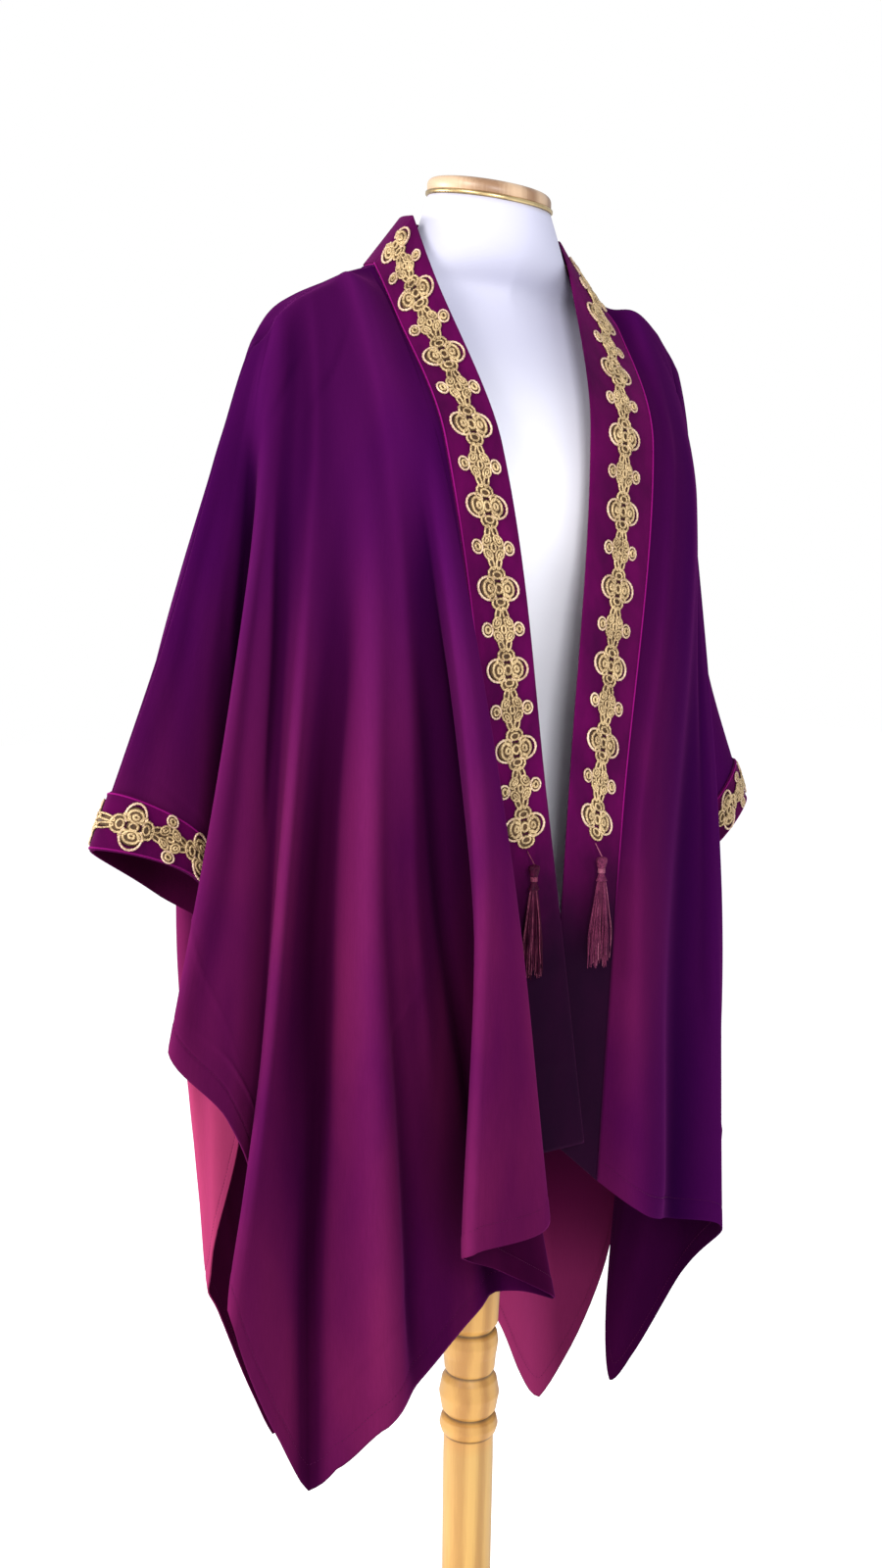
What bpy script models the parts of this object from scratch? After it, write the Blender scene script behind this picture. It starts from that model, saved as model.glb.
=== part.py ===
"""Open-front kimono cape with gold lace trim, worn by a dress form on a turned pole.

Units are metres and +Z is up. The origin is the middle of the base's underside. The front faces -Y and
+X is the wearer's left. The cape is one sheet of cloth that is draped by a table of hang lines: each row
leaves the shoulder line, passes the bust or shoulder blade, and falls to the cloth's edge. The panels,
bands and cuffs are cut from that sheet, so they share its points and its thickness direction at the seams.
"""

import functools
import math

import bmesh
import bpy
import numpy as np
from mathutils import Vector

# Cloth sizes
CLOTH_WALL = 0.0016
BAND_WALL = 0.0018
TRIM_WALL = 0.0020
SEAM_GAP = 0.0003
LAY_GAP = 0.0006
BAND_WIDTH = 0.062

# Shoulder line, from the seam at the side of the neck to the shoulder tip
SHOULDER_LINE_X = (0.122, 0.152, 0.180, 0.203, 0.219, 0.229)
SHOULDER_LINE_Z = (1.398, 1.388, 1.374, 1.359, 1.343, 1.321)
NECK_SEAM_X = SHOULDER_LINE_X[0]
NECK_SEAM_Z = SHOULDER_LINE_Z[0]
SHOULDER_TIP_X = SHOULDER_LINE_X[-1]
NECK_EDGE_X = 0.082
NECK_EDGE_Z = 1.445
NECK_SEAM_BACK_Y = 0.090
NECK_EDGE_BACK_Y = 0.073
NECK_RISE = 0.012

# Where each hang line's stations lie along the sheet: top, crest, break, low, end. The crest rounds the
# cloth over the shoulder: it lies these shares of the way from the top to the break, and a little further
# to the front or the back.
STATIONS = (0.0, 0.09, 0.24, 0.62, 1.0)
CREST_OUT = 0.34
CREST_DOWN = 0.10
CREST_FORWARD = 0.008

# Hang lines: name, x of the top on the shoulder line, then the points where the cloth leaves the body
# (break), hangs free (low) and ends at its edge (end), in metres.
RIGHT_FRONT = [
    ("edge", -NECK_EDGE_X, (-0.079, -0.131, 1.241), (-0.040, -0.153, 0.940), (0.006, -0.158, 0.635)),
    ("seam", -NECK_SEAM_X, (-0.137, -0.129, 1.243), (-0.093, -0.147, 0.930), (-0.050, -0.152, 0.632)),
    ("flap_right_ridge", -0.131, (-0.145, -0.132, 1.236), (-0.090, -0.169, 0.895), (-0.053, -0.182, 0.579)),
    ("flap_left_ridge", -0.140, (-0.153, -0.132, 1.228), (-0.128, -0.173, 0.890), (-0.143, -0.190, 0.578)),
    ("flap_back", -0.147, (-0.160, -0.129, 1.222), (-0.110, -0.141, 0.880), (-0.075, -0.146, 0.530)),
    ("hidden_ridge", -0.152, (-0.166, -0.126, 1.216), (-0.080, -0.119, 0.850), (0.014, -0.112, 0.468)),
    ("return", -0.158, (-0.172, -0.122, 1.212), (-0.115, -0.108, 0.840), (-0.037, -0.094, 0.478)),
    ("front", -0.164, (-0.180, -0.116, 1.208), (-0.162, -0.120, 0.830), (-0.134, -0.122, 0.445)),
    ("broad_ridge", -0.174, (-0.192, -0.103, 1.206), (-0.205, -0.126, 0.820), (-0.197, -0.152, 0.427)),
    ("corner_valley", -0.185, (-0.204, -0.083, 1.207), (-0.232, -0.082, 0.800), (-0.257, -0.128, 0.375)),
    ("outer_ridge", -0.194, (-0.218, -0.062, 1.210), (-0.272, -0.092, 0.800), (-0.318, -0.108, 0.535)),
    ("outer_valley", -0.201, (-0.230, -0.050, 1.215), (-0.266, -0.072, 0.820), (-0.280, -0.074, 0.618)),
    ("side", -0.208, (-0.240, -0.044, 1.220), (-0.286, -0.072, 0.890), (-0.306, -0.078, 0.692)),
    ("side_ridge", -0.213, (-0.247, -0.037, 1.228), (-0.304, -0.062, 0.975), (-0.353, -0.070, 0.759)),
    ("flank", -0.218, (-0.248, -0.028, 1.235), (-0.252, -0.020, 0.985), (-0.236, -0.012, 0.778)),
    ("underarm", -0.222, (-0.250, -0.020, 1.240), (-0.254, 0.004, 1.000), (-0.243, 0.012, 0.795)),
    ("cuff", -0.225, (-0.255, -0.013, 1.245), (-0.290, -0.010, 1.040), (-0.302, -0.010, 0.880)),
]
SLEEVE_RIGHT = ("sleeve_top", -SHOULDER_TIP_X, (-0.267, 0.000, 1.245), (-0.318, 0.000, 1.085), (-0.386, 0.000, 0.909))
BACK = [
    ("cuff", -0.225, (-0.256, 0.016, 1.243), (-0.302, 0.044, 1.030), (-0.303, 0.068, 0.855)),
    ("underarm", -0.221, (-0.247, 0.026, 1.238), (-0.252, 0.034, 1.000), (-0.242, 0.032, 0.795)),
    ("edge", -0.214, (-0.241, 0.038, 1.234), (-0.238, 0.056, 0.890), (-0.222, 0.060, 0.630)),
    ("edge_low", -0.207, (-0.237, 0.051, 1.230), (-0.244, 0.080, 0.850), (-0.238, 0.090, 0.490)),
    ("side_ridge", -0.199, (-0.231, 0.065, 1.225), (-0.262, 0.108, 0.830), (-0.212, 0.122, 0.412)),
    ("corner", -0.190, (-0.221, 0.081, 1.220), (-0.226, 0.130, 0.800), (-0.146, 0.140, 0.262)),
    ("valley_1", -0.175, (-0.196, 0.098, 1.215), (-0.175, 0.120, 0.830), (-0.122, 0.118, 0.335)),
    ("ridge_1", -0.157, (-0.165, 0.108, 1.210), (-0.134, 0.152, 0.830), (-0.096, 0.170, 0.395)),
    ("valley_2", -0.137, (-0.124, 0.110, 1.210), (-0.086, 0.122, 0.840), (-0.062, 0.128, 0.440)),
    ("ridge_2", -0.090, (-0.080, 0.112, 1.210), (-0.046, 0.150, 0.850), (-0.028, 0.172, 0.450)),
    ("valley_3", -0.030, (-0.022, 0.108, 1.205), (0.008, 0.119, 0.850), (0.018, 0.132, 0.440)),
    ("ridge_3", 0.050, (0.052, 0.112, 1.210), (0.062, 0.152, 0.845), (0.070, 0.166, 0.410)),
    ("valley_4", 0.129, (0.120, 0.110, 1.210), (0.112, 0.121, 0.830), (0.112, 0.110, 0.335)),
    ("corner", 0.166, (0.190, 0.098, 1.215), (0.195, 0.140, 0.800), (0.159, 0.085, 0.234)),
    ("edge_low", 0.199, (0.230, 0.066, 1.225), (0.262, 0.100, 0.800), (0.246, 0.078, 0.375)),
    ("edge", 0.212, (0.235, 0.040, 1.234), (0.260, 0.060, 0.880), (0.264, 0.064, 0.600)),
    ("underarm", 0.221, (0.240, 0.026, 1.238), (0.254, 0.034, 1.000), (0.252, 0.036, 0.795)),
    ("cuff", 0.225, (0.240, 0.016, 1.243), (0.282, 0.042, 1.030), (0.312, 0.056, 0.850)),
]
SLEEVE_LEFT = ("sleeve_top", SHOULDER_TIP_X, (0.247, 0.000, 1.250), (0.284, 0.004, 1.070), (0.360, 0.008, 0.900))
LEFT_FRONT = [
    ("cuff", 0.225, (0.241, -0.013, 1.245), (0.266, -0.019, 1.040), (0.298, -0.028, 0.868)),
    ("underarm", 0.222, (0.237, -0.020, 1.240), (0.246, 0.004, 1.000), (0.249, 0.014, 0.795)),
    ("flank", 0.218, (0.233, -0.027, 1.236), (0.232, -0.012, 0.960), (0.238, 0.014, 0.715)),
    ("edge", 0.213, (0.227, -0.034, 1.231), (0.236, -0.034, 0.880), (0.230, 0.044, 0.500)),
    ("corner", 0.208, (0.220, -0.041, 1.226), (0.248, -0.044, 0.800), (0.212, 0.028, 0.264)),
    ("wrap", 0.201, (0.212, -0.048, 1.220), (0.254, -0.060, 0.830), (0.262, -0.030, 0.402)),
    ("front_ridge", 0.193, (0.206, -0.058, 1.215), (0.232, -0.086, 0.820), (0.244, -0.100, 0.478)),
    ("valley", 0.174, (0.186, -0.086, 1.210), (0.166, -0.100, 0.840), (0.166, -0.105, 0.508)),
    ("broad_ridge", 0.148, (0.142, -0.112, 1.220), (0.082, -0.150, 0.880), (0.090, -0.152, 0.545)),
    ("seam", NECK_SEAM_X, (0.098, -0.120, 1.250), (0.050, -0.147, 0.920), (0.040, -0.138, 0.585)),
    ("edge", NECK_EDGE_X, (0.015, -0.131, 1.262), (-0.015, -0.150, 0.950), (-0.022, -0.138, 0.640)),
]
LINES = RIGHT_FRONT + [SLEEVE_RIGHT] + BACK + [SLEEVE_LEFT] + LEFT_FRONT

RIGHT_SEAM = 1
SLEEVE_RIGHT_AT = len(RIGHT_FRONT)
SLEEVE_LEFT_AT = SLEEVE_RIGHT_AT + len(BACK) + 1
LAST = len(LINES) - 1
LEFT_SEAM = LAST - 1

# Crests of the two front bands and of the folds beside the right one, by hang line
FRONT_CRESTS = {
    0: (-0.095, -0.054, 1.384),
    1: (-0.134, -0.050, 1.352),
    2: (-0.140, -0.052, 1.355),
    3: (-0.147, -0.053, 1.358),
    4: (-0.153, -0.053, 1.361),
    5: (-0.159, -0.053, 1.364),
    6: (-0.165, -0.052, 1.367),
    7: (-0.173, -0.049, 1.369),
    LAST - 1: (0.120, -0.046, 1.358),
    LAST: (0.056, -0.050, 1.398),
}

# Hanging corners come to a point: hang line, and how far the edge rises beside it (before and after it)
CORNERS = [
    (9.0, 0.026, 0.014),
    (23.0, 0.012, 0.012),
    (31.0, 0.012, 0.012),
    (41.0, 0.012, 0.012),
]
CORNER_REACH = 0.22

# Steps for working out directions: along the shoulder line, and across the sheet
SHOULDER_STEP = 0.005
NORMAL_STEP = 0.02

# Mesh spacing: columns between two hang lines, and places of the rows from the top to the edge
COLUMNS_A_LINE = 3
CUFF_COLUMNS = 5
BAND_SHARES = (0.0, 0.2, 0.4, 0.6, 0.8, 1.0)
NECK_TURNS = 20
ROWS = (0.0, 0.03, 0.06, 0.09, 0.12, 0.15, 0.19, 0.24, 0.31, 0.40, 0.50, 0.60, 0.70, 0.80, 0.90, 0.95, 1.0)
CUFF_ROW = 14

# Lace trim: one repeat holds a four-lobed flower and a small cross. Half widths in millimetres, by the
# place along the repeat.
TRIM_REPEAT = 0.067
TRIM_OUTLINE = [
    (0.00, 17.5),
    (0.11, 16.0),
    (0.18, 10.5),
    (0.28, 7.0),
    (0.41, 10.0),
    (0.46, 19.0),
    (0.54, 19.0),
    (0.59, 10.0),
    (0.72, 7.0),
    (0.82, 10.5),
    (0.89, 16.0),
]
TRIM_END_Z = 0.904
TRIM_END_SHARE = 0.30
STEP_MIN = 0.0016
CUFF_TRIM_SCALE = 0.95
TRIM_GAP = 0.0004

# Tassels
TASSEL_SIDES = 12
TASSEL_HEAD = [
    (0.0008, 0.0000),
    (0.0008, -0.0105),
    (0.0048, -0.0118),
    (0.0054, -0.0140),
    (0.0042, -0.0190),
    (0.0024, -0.0230),
    (0.0028, -0.0265),
    (0.0054, -0.0320),
]
TASSEL_CORE = 0.0030
STRAND_LENGTH = 0.075
STRAND_INSET = 0.00035
STRAND_FLARE = (0.72, 0.50)
STRAND_FLATNESS = 0.32
STRAND_UNEVEN = 0.03
THREAD_GAP = 0.0008
TASSEL_STANDOFF = 0.0092

# Dress form: height, half width, front and back of each section, and how square it is
TORSO_SECTIONS = [
    (0.765, 0.128, -0.070, 0.078, 2.3),
    (0.772, 0.138, -0.077, 0.085, 2.3),
    (0.830, 0.146, -0.082, 0.090, 2.3),
    (0.930, 0.132, -0.080, 0.080, 2.3),
    (1.010, 0.122, -0.082, 0.070, 2.3),
    (1.090, 0.136, -0.098, 0.074, 2.3),
    (1.160, 0.152, -0.114, 0.082, 2.3),
    (1.215, 0.160, -0.114, 0.086, 2.3),
    (1.270, 0.168, -0.096, 0.084, 2.3),
    (1.312, 0.181, -0.074, 0.072, 2.2),
    (1.338, 0.188, -0.056, 0.054, 2.0),
    (1.356, 0.183, -0.042, 0.042, 1.5),
]
# Half width, front and back of the sections whose ends lie just under the cape's shoulder line
SHOULDER_SECTIONS = [
    (0.172, -0.034, 0.034, 1.10),
    (0.156, -0.030, 0.030, 1.10),
    (0.140, -0.026, 0.026, 1.10),
]
NECK_SECTIONS = [
    (1.3950, 0.106, -0.042, 0.042, 1.4),
    (1.4020, 0.090, -0.051, 0.051, 1.7),
    (1.4110, 0.079, -0.058, 0.058, 1.9),
    (1.4230, 0.072, -0.062, 0.062, 2.0),
    (1.4350, 0.067, -0.063, 0.063, 2.0),
    (1.4460, 0.063, -0.062, 0.062, 2.0),
]
SHOULDER_CLEARANCE = 0.0014
TORSO_SIDES = 28
NECK_RADIUS = 0.0555
NECK_TILT = math.radians(9.5)
NECK_LEAN = math.radians(3.0)
RIM_THICKNESS = 0.0035
CAP_THICKNESS = 0.0120
CAP_RADIUS = 0.0560
FORM_GAP = 0.0003
NECK_TOP_Z = 1.4650

# Turned pole: radius and height down its outer side
POLE_TOP_Z = 0.7647
POLE_PROFILE = [
    (0.0000, POLE_TOP_Z),
    (0.0290, POLE_TOP_Z),
    (0.0290, 0.560),
    (0.0270, 0.520),
    (0.0290, 0.440),
    (0.0275, 0.404),
    (0.0228, 0.397),
    (0.0268, 0.393),
    (0.0282, 0.384),
    (0.0268, 0.373),
    (0.0262, 0.371),
    (0.0250, 0.356),
    (0.0226, 0.352),
    (0.0272, 0.345),
    (0.0300, 0.330),
    (0.0270, 0.313),
    (0.0226, 0.308),
    (0.0275, 0.304),
    (0.0292, 0.297),
    (0.0272, 0.290),
    (0.0246, 0.287),
    (0.0250, 0.260),
    (0.0244, 0.120),
    (0.0265, 0.060),
    (0.0340, 0.0263),
    (0.0000, 0.0263),
]
POLE_SIDES = 20
BASE_RADIUS = 0.165
BASE_HEIGHT = 0.026
BASE_PROFILE = [
    (0.000, BASE_HEIGHT),
    (0.140, BASE_HEIGHT),
    (0.158, 0.021),
    (BASE_RADIUS, 0.012),
    (BASE_RADIUS, 0.003),
    (0.162, 0.000),
    (0.000, 0.000),
]
BASE_SIDES = 40

COLLECTION_NAME = "cape_on_dress_form"

# Colour, roughness and metallic value of each material
SATIN = ("satin", (0.115, 0.012, 0.085, 1.0), 0.42, 0.0)
VELVET = ("velvet", (0.095, 0.004, 0.075, 1.0), 0.80, 0.0)
GOLD_LACE = ("gold_lace", (0.55, 0.40, 0.19, 1.0), 0.50, 0.4)
TASSEL_THREAD = ("tassel_thread", (0.12, 0.020, 0.060, 1.0), 0.60, 0.0)
FORM_CLOTH = ("form_cloth", (0.75, 0.76, 0.86, 1.0), 0.75, 0.0)
CAP_WOOD = ("cap_wood", (0.28, 0.19, 0.13, 1.0), 0.40, 0.0)
BRASS = ("brass", (0.68, 0.52, 0.28, 1.0), 0.30, 1.0)
POLE_WOOD = ("pole_wood", (0.78, 0.56, 0.27, 1.0), 0.45, 0.0)


def clear_scene():
    """Remove what the file starts with."""
    for found in list(bpy.data.objects):
        bpy.data.objects.remove(found, do_unlink=True)


def make_material(spec):
    """Return the Principled material of a spec, made once."""
    name, colour, roughness, metallic = spec
    if name in bpy.data.materials:
        return bpy.data.materials[name]
    material = bpy.data.materials.new(name)
    material.use_nodes = True
    shader = material.node_tree.nodes["Principled BSDF"]
    shader.inputs["Base Color"].default_value = colour
    shader.inputs["Roughness"].default_value = roughness
    shader.inputs["Metallic"].default_value = metallic
    return material


def add_object(name, mesh, spec, collection):
    """Link a mesh as a named object with its material."""
    obj = bpy.data.objects.new(name, mesh)
    mesh.materials.append(make_material(spec))
    collection.objects.link(obj)
    return obj


def unit(vectors):
    """Scale vectors to length one."""
    return vectors / np.linalg.norm(vectors, axis=-1, keepdims=True)


def spline_weights(knots, at):
    """Return the weights of every knot at a place, for a smooth curve through all of them."""
    knots = np.asarray(knots, float)
    count = len(knots)
    weights = np.zeros(count)
    low = int(np.clip(np.searchsorted(knots, at, side="right") - 1, 0, count - 2))
    span = knots[low + 1] - knots[low]
    t = (at - knots[low]) / span
    weights[low] += 2 * t**3 - 3 * t**2 + 1
    weights[low + 1] += 3 * t**2 - 2 * t**3
    for knot, share in ((low, (t**3 - 2 * t**2 + t) * span), (low + 1, (t**3 - t**2) * span)):
        before = max(knot - 1, 0)
        after = min(knot + 1, count - 1)
        run = knots[after] - knots[before]
        weights[after] += share / run
        weights[before] -= share / run
    return weights


def top_point(name, x):
    """Return the top of a hang line: on the shoulder line, the back neckline or the band's upper edge."""
    if abs(x) == NECK_EDGE_X and name == "edge":
        return (x, 0.0, NECK_EDGE_Z)
    if abs(x) >= NECK_SEAM_X:
        return (x, 0.0, float(np.interp(abs(x), SHOULDER_LINE_X, SHOULDER_LINE_Z)))
    round_neck = math.sqrt(1.0 - (x / NECK_SEAM_X) ** 2)
    return (x, NECK_SEAM_BACK_Y * round_neck, NECK_SEAM_Z + NECK_RISE * round_neck)


def crest_point(place, top, at_break):
    """Return the point where a hang line bends down over the shoulder."""
    if place in FRONT_CRESTS:
        return FRONT_CRESTS[place]
    shares = (CREST_OUT, CREST_OUT, CREST_DOWN)
    x, y, z = (start + share * (stop - start) for start, stop, share in zip(top, at_break, shares))
    return (x, y + math.copysign(CREST_FORWARD, at_break[1]) * (at_break[1] != 0.0), z)


def line_points(place, name, x, at_break, low, end):
    """Return the five points of a hang line."""
    top = top_point(name, x)
    return [top, crest_point(place, top, at_break), at_break, low, end]


TOP_LINE_X = (NECK_EDGE_X,) + SHOULDER_LINE_X + (SHOULDER_TIP_X + SHOULDER_STEP,)
TOP_LINE_Z = (NECK_EDGE_Z,) + SHOULDER_LINE_Z + (SHOULDER_LINE_Z[-1] - 2 * SHOULDER_STEP,)
LINE_PLACES = np.arange(len(LINES), dtype=float)
SHEET_POINTS = np.array([line_points(place, *line) for place, line in enumerate(LINES)])


def sheet_point(across, along):
    """Return a point of the draped sheet: across counts hang lines, along runs from 0 at the top to 1."""
    stations = np.tensordot(spline_weights(LINE_PLACES, across), SHEET_POINTS, 1)
    if on_shoulder(stations[0]) or SLEEVE_RIGHT_AT < across < SLEEVE_LEFT_AT:
        stations[0] = top_point("sheet", stations[0][0])
    point = spline_weights(STATIONS, along) @ stations
    point[2] += corner_lift(across, along)
    return point


def corner_lift(across, along):
    """Return how far a point rises beside a pointed corner of the sheet."""
    fade = min(max((along - 1.0 + CORNER_REACH) / CORNER_REACH, 0.0), 1.0)
    lift = 0.0
    for corner, before, after in CORNERS:
        away = abs(across - corner)
        height = before if across < corner else after
        lift += height * min(3.0 * away, 1.0) * max(1.0 - away, 0.0)
    return lift * fade * fade * (3.0 - 2.0 * fade)


def on_shoulder(point):
    """Tell whether a top point lies on the shoulder line, outside the neck."""
    return abs(point[0]) >= NECK_SEAM_X - 1e-6


def top_normal(point):
    """Return the way out of the cape at a top point beside the neck or on the shoulder line."""
    outward = abs(point[0])
    before = max(outward - SHOULDER_STEP, NECK_EDGE_X)
    after = outward + SHOULDER_STEP
    heights = np.interp([before, after], TOP_LINE_X, TOP_LINE_Z)
    return unit(np.array([math.copysign(heights[0] - heights[1], point[0]), 0.0, after - before]))


def sheet_normal(across, along):
    """Return the direction out of the cape at a point of the sheet."""
    top = sheet_point(across, 0.0)
    on_back = SLEEVE_RIGHT_AT < across < SLEEVE_LEFT_AT
    if along < 1e-6 and (on_shoulder(top) or not on_back):
        return top_normal(top)
    left, right = max(across - NORMAL_STEP, 0.0), min(across + NORMAL_STEP, float(LAST))
    upper, lower = max(along - NORMAL_STEP / 2, 0.0), min(along + NORMAL_STEP / 2, 1.0)
    sideways = sheet_point(right, along) - sheet_point(left, along)
    down = sheet_point(across, lower) - sheet_point(across, upper)
    return unit(np.cross(sideways, down))


def sheet_grid(columns, rows):
    """Return the points and normals of the sheet at each row and column."""
    points = np.array([[sheet_point(a, b) for a in columns] for b in rows])
    normals = np.array([[sheet_normal(a, b) for a in columns] for b in rows])
    return points, normals


def inset(points, first=0.0, last=0.0, top=0.0):
    """Draw a grid's edges in by a seam's gap."""
    moved = points.copy()
    if first:
        moved[:, 0] += first * unit(points[:, 1] - points[:, 0])
    if last:
        moved[:, -1] += last * unit(points[:, -2] - points[:, -1])
    if top:
        moved[0] += top * unit(points[1] - points[0])
    return moved


def wall_mesh(name, outer, inner):
    """Make a closed wall between an outer and an inner grid of points."""
    rows, columns = outer.shape[:2]
    mesh = bmesh.new()
    skins = []
    for grid in (outer, inner):
        skins.append([[mesh.verts.new(tuple(point)) for point in line] for line in grid])
    for skin in skins:
        for i in range(rows - 1):
            for j in range(columns - 1):
                a, b, c, d = skin[i][j], skin[i][j + 1], skin[i + 1][j + 1], skin[i + 1][j]
                mesh.faces.new((a, b, c))
                mesh.faces.new((a, c, d))
    front, back = skins
    rim_front = [line[0] for line in front] + front[-1][1:]
    rim_front += [line[-1] for line in front[-2::-1]] + front[0][-2:0:-1]
    rim_back = [line[0] for line in back] + back[-1][1:]
    rim_back += [line[-1] for line in back[-2::-1]] + back[0][-2:0:-1]
    for i in range(len(rim_front)):
        after = (i + 1) % len(rim_front)
        mesh.faces.new((rim_front[i], rim_front[after], rim_back[after]))
        mesh.faces.new((rim_front[i], rim_back[after], rim_back[i]))
    bmesh.ops.recalc_face_normals(mesh, faces=mesh.faces)
    data = bpy.data.meshes.new(name)
    mesh.to_mesh(data)
    mesh.free()
    return data


def add_wall(name, points, normals, wall, lift, spec, collection):
    """Add a wall whose middle lies on the points, or lifted off them along the normals."""
    outer = points + normals * (lift + wall / 2)
    inner = points + normals * (lift - wall / 2)
    return add_object(name, wall_mesh(name, outer, inner), spec, collection)


def places(first, last, count):
    """Return evenly spaced places from first to last."""
    return np.linspace(first, last, count + 1)


def add_panel(name, first, last, collection, first_gap=SEAM_GAP, last_gap=SEAM_GAP):
    """Add a panel of satin between two hang lines."""
    columns = places(first, last, (last - first) * COLUMNS_A_LINE)
    points, normals = sheet_grid(columns, ROWS)
    points = inset(points, first_gap, last_gap, SEAM_GAP)
    return add_wall(name, points, normals, CLOTH_WALL, 0.0, SATIN, collection)


@functools.lru_cache(maxsize=None)
def row_frame(across, row):
    """Return the point and normal where a hang line crosses one of the rows."""
    return sheet_point(across, ROWS[row]), sheet_normal(across, ROWS[row])


def flat_point(across, along):
    """Return a point and normal of a hang line, straight between the rows as the walls are."""
    low = int(np.clip(np.searchsorted(ROWS, along, side="right") - 1, 0, len(ROWS) - 2))
    share = (along - ROWS[low]) / (ROWS[low + 1] - ROWS[low])
    upper, lower = row_frame(across, low), row_frame(across, low + 1)
    return upper[0] + share * (lower[0] - upper[0]), upper[1] + share * (lower[1] - upper[1])


def band_point(first, share, along):
    """Return a point and normal on a front band, straight across between its two edges."""
    left, right = flat_point(first, along), flat_point(first + 1, along)
    return left[0] + share * (right[0] - left[0]), unit(left[1] + share * (right[1] - left[1]))


def add_band(name, first, gap_first, gap_last, collection):
    """Add a front's velvet band, from the neck to the hem."""
    grid = [[band_point(first, share, b) for share in BAND_SHARES] for b in ROWS]
    points = np.array([[pair[0] for pair in line] for line in grid])
    normals = np.array([[pair[1] for pair in line] for line in grid])
    points = inset(points, gap_first, gap_last, SEAM_GAP)
    return add_wall(name, points, normals, BAND_WALL, 0.0, VELVET, collection)


def neck_band_point(share, turn):
    """Return a point and normal on the band behind the neck: turn runs from the right side to the left."""
    angle = math.pi * turn
    around = np.array([-math.cos(angle), math.sin(angle)])
    low = np.array([around[0] * NECK_SEAM_X, around[1] * NECK_SEAM_BACK_Y, NECK_SEAM_Z + NECK_RISE * around[1]])
    high = np.array([around[0] * NECK_EDGE_X, around[1] * NECK_EDGE_BACK_Y, NECK_EDGE_Z + NECK_RISE * around[1]])
    upward = unit(high - low)
    sideways = unit(np.array([math.sin(angle) * NECK_SEAM_X, math.cos(angle) * NECK_SEAM_BACK_Y, 0.0]))
    return high + share * (low - high), unit(np.cross(sideways, upward))


def add_neck_band(collection):
    """Add the velvet band that stands round the back of the neck."""
    lower_edge = 1.0 - 0.0018 / BAND_WIDTH
    grid = [[neck_band_point(s, turn) for s in (0.0, lower_edge)] for turn in places(0.0, 1.0, NECK_TURNS)]
    points = np.array([[pair[0] for pair in line] for line in grid])
    normals = np.array([[pair[1] for pair in line] for line in grid])
    points[0] += SEAM_GAP * np.array([0.0, 1.0, 0.0])
    points[-1] += SEAM_GAP * np.array([0.0, 1.0, 0.0])
    return add_wall("band_neck", points, normals, BAND_WALL, 0.0, VELVET, collection)


def add_cuff(name, sleeve, collection):
    """Add a velvet cuff band on the sleeve's end, from underarm to underarm, and return its grid."""
    reach = CUFF_COLUMNS / COLUMNS_A_LINE
    columns = places(sleeve - reach, sleeve + reach, 2 * CUFF_COLUMNS)
    points, normals = sheet_grid(columns, ROWS[CUFF_ROW:])
    lift = CLOTH_WALL / 2 + LAY_GAP + BAND_WALL / 2
    add_wall(name, points, normals, BAND_WALL, lift, VELVET, collection)
    return points, normals, lift + BAND_WALL / 2


def outline_at(distance, scale=1.0):
    """Return the trim's half width at a distance along it."""
    share = (distance / TRIM_REPEAT) % 1.0
    steps = [step for step, _ in TRIM_OUTLINE] + [1.0]
    widths = [width for _, width in TRIM_OUTLINE] + [TRIM_OUTLINE[0][1]]
    return 0.001 * scale * float(np.interp(share, steps, widths))


def outline_steps(length, start, bends):
    """Return the distances along a trim at which its outline or its band has a point."""
    wanted = [distance for distance in bends if STEP_MIN < distance < length - STEP_MIN]
    for repeat in range(int((start + length) / TRIM_REPEAT) + 1):
        for share, _ in TRIM_OUTLINE:
            distance = (repeat + share) * TRIM_REPEAT - start
            clear = all(abs(distance - other) > STEP_MIN for other in wanted)
            if clear and STEP_MIN < distance < length - STEP_MIN:
                wanted.append(distance)
    return [0.0] + sorted(wanted) + [length]


def add_strip(name, sample, path_length, start, bends, scale, lift, collection):
    """Add a lace trim: sample gives a point and normal for a distance along and an offset across."""
    points, normals = [], []
    for distance in outline_steps(path_length, start, bends):
        half = outline_at(distance + start, scale)
        pairs = [sample(distance, offset) for offset in (-half, half)]
        points.append([pair[0] for pair in pairs])
        normals.append([pair[1] for pair in pairs])
    points, normals = np.array(points), np.array(normals)
    middle = lift + LAY_GAP + TRIM_WALL / 2
    return add_wall(name, points, normals, TRIM_WALL, middle, GOLD_LACE, collection)


def path_lengths(points):
    """Return the distance along a path at each of its points."""
    return np.concatenate([[0.0], np.cumsum(np.linalg.norm(np.diff(points, axis=0), axis=1))])


def front_trim_path(first):
    """Return a front trim's length, its distances at the band's rows and the place along for a distance."""
    middle = np.array([band_point(first, 0.5, b)[0] for b in ROWS])
    lengths = path_lengths(middle)
    total = float(np.interp(-TRIM_END_Z, -middle[:, 2], lengths))
    return total, lengths, lambda distance: float(np.interp(distance, lengths, ROWS))


def add_front_trim(name, first, collection):
    """Add the lace on a front band."""
    length, bends, place = front_trim_path(first)

    def sample(distance, offset):
        along = place(distance)
        width = np.linalg.norm(sheet_point(first + 1, along) - sheet_point(first, along))
        return band_point(first, 0.5 + offset / width, along)

    shift = (TRIM_END_SHARE * TRIM_REPEAT - length) % TRIM_REPEAT
    return add_strip(
        name,
        lambda distance, offset: sample(distance + TRIM_GAP, offset),
        length - TRIM_GAP,
        shift + TRIM_GAP,
        bends - TRIM_GAP,
        1.0,
        BAND_WALL / 2,
        collection,
    )


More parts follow.
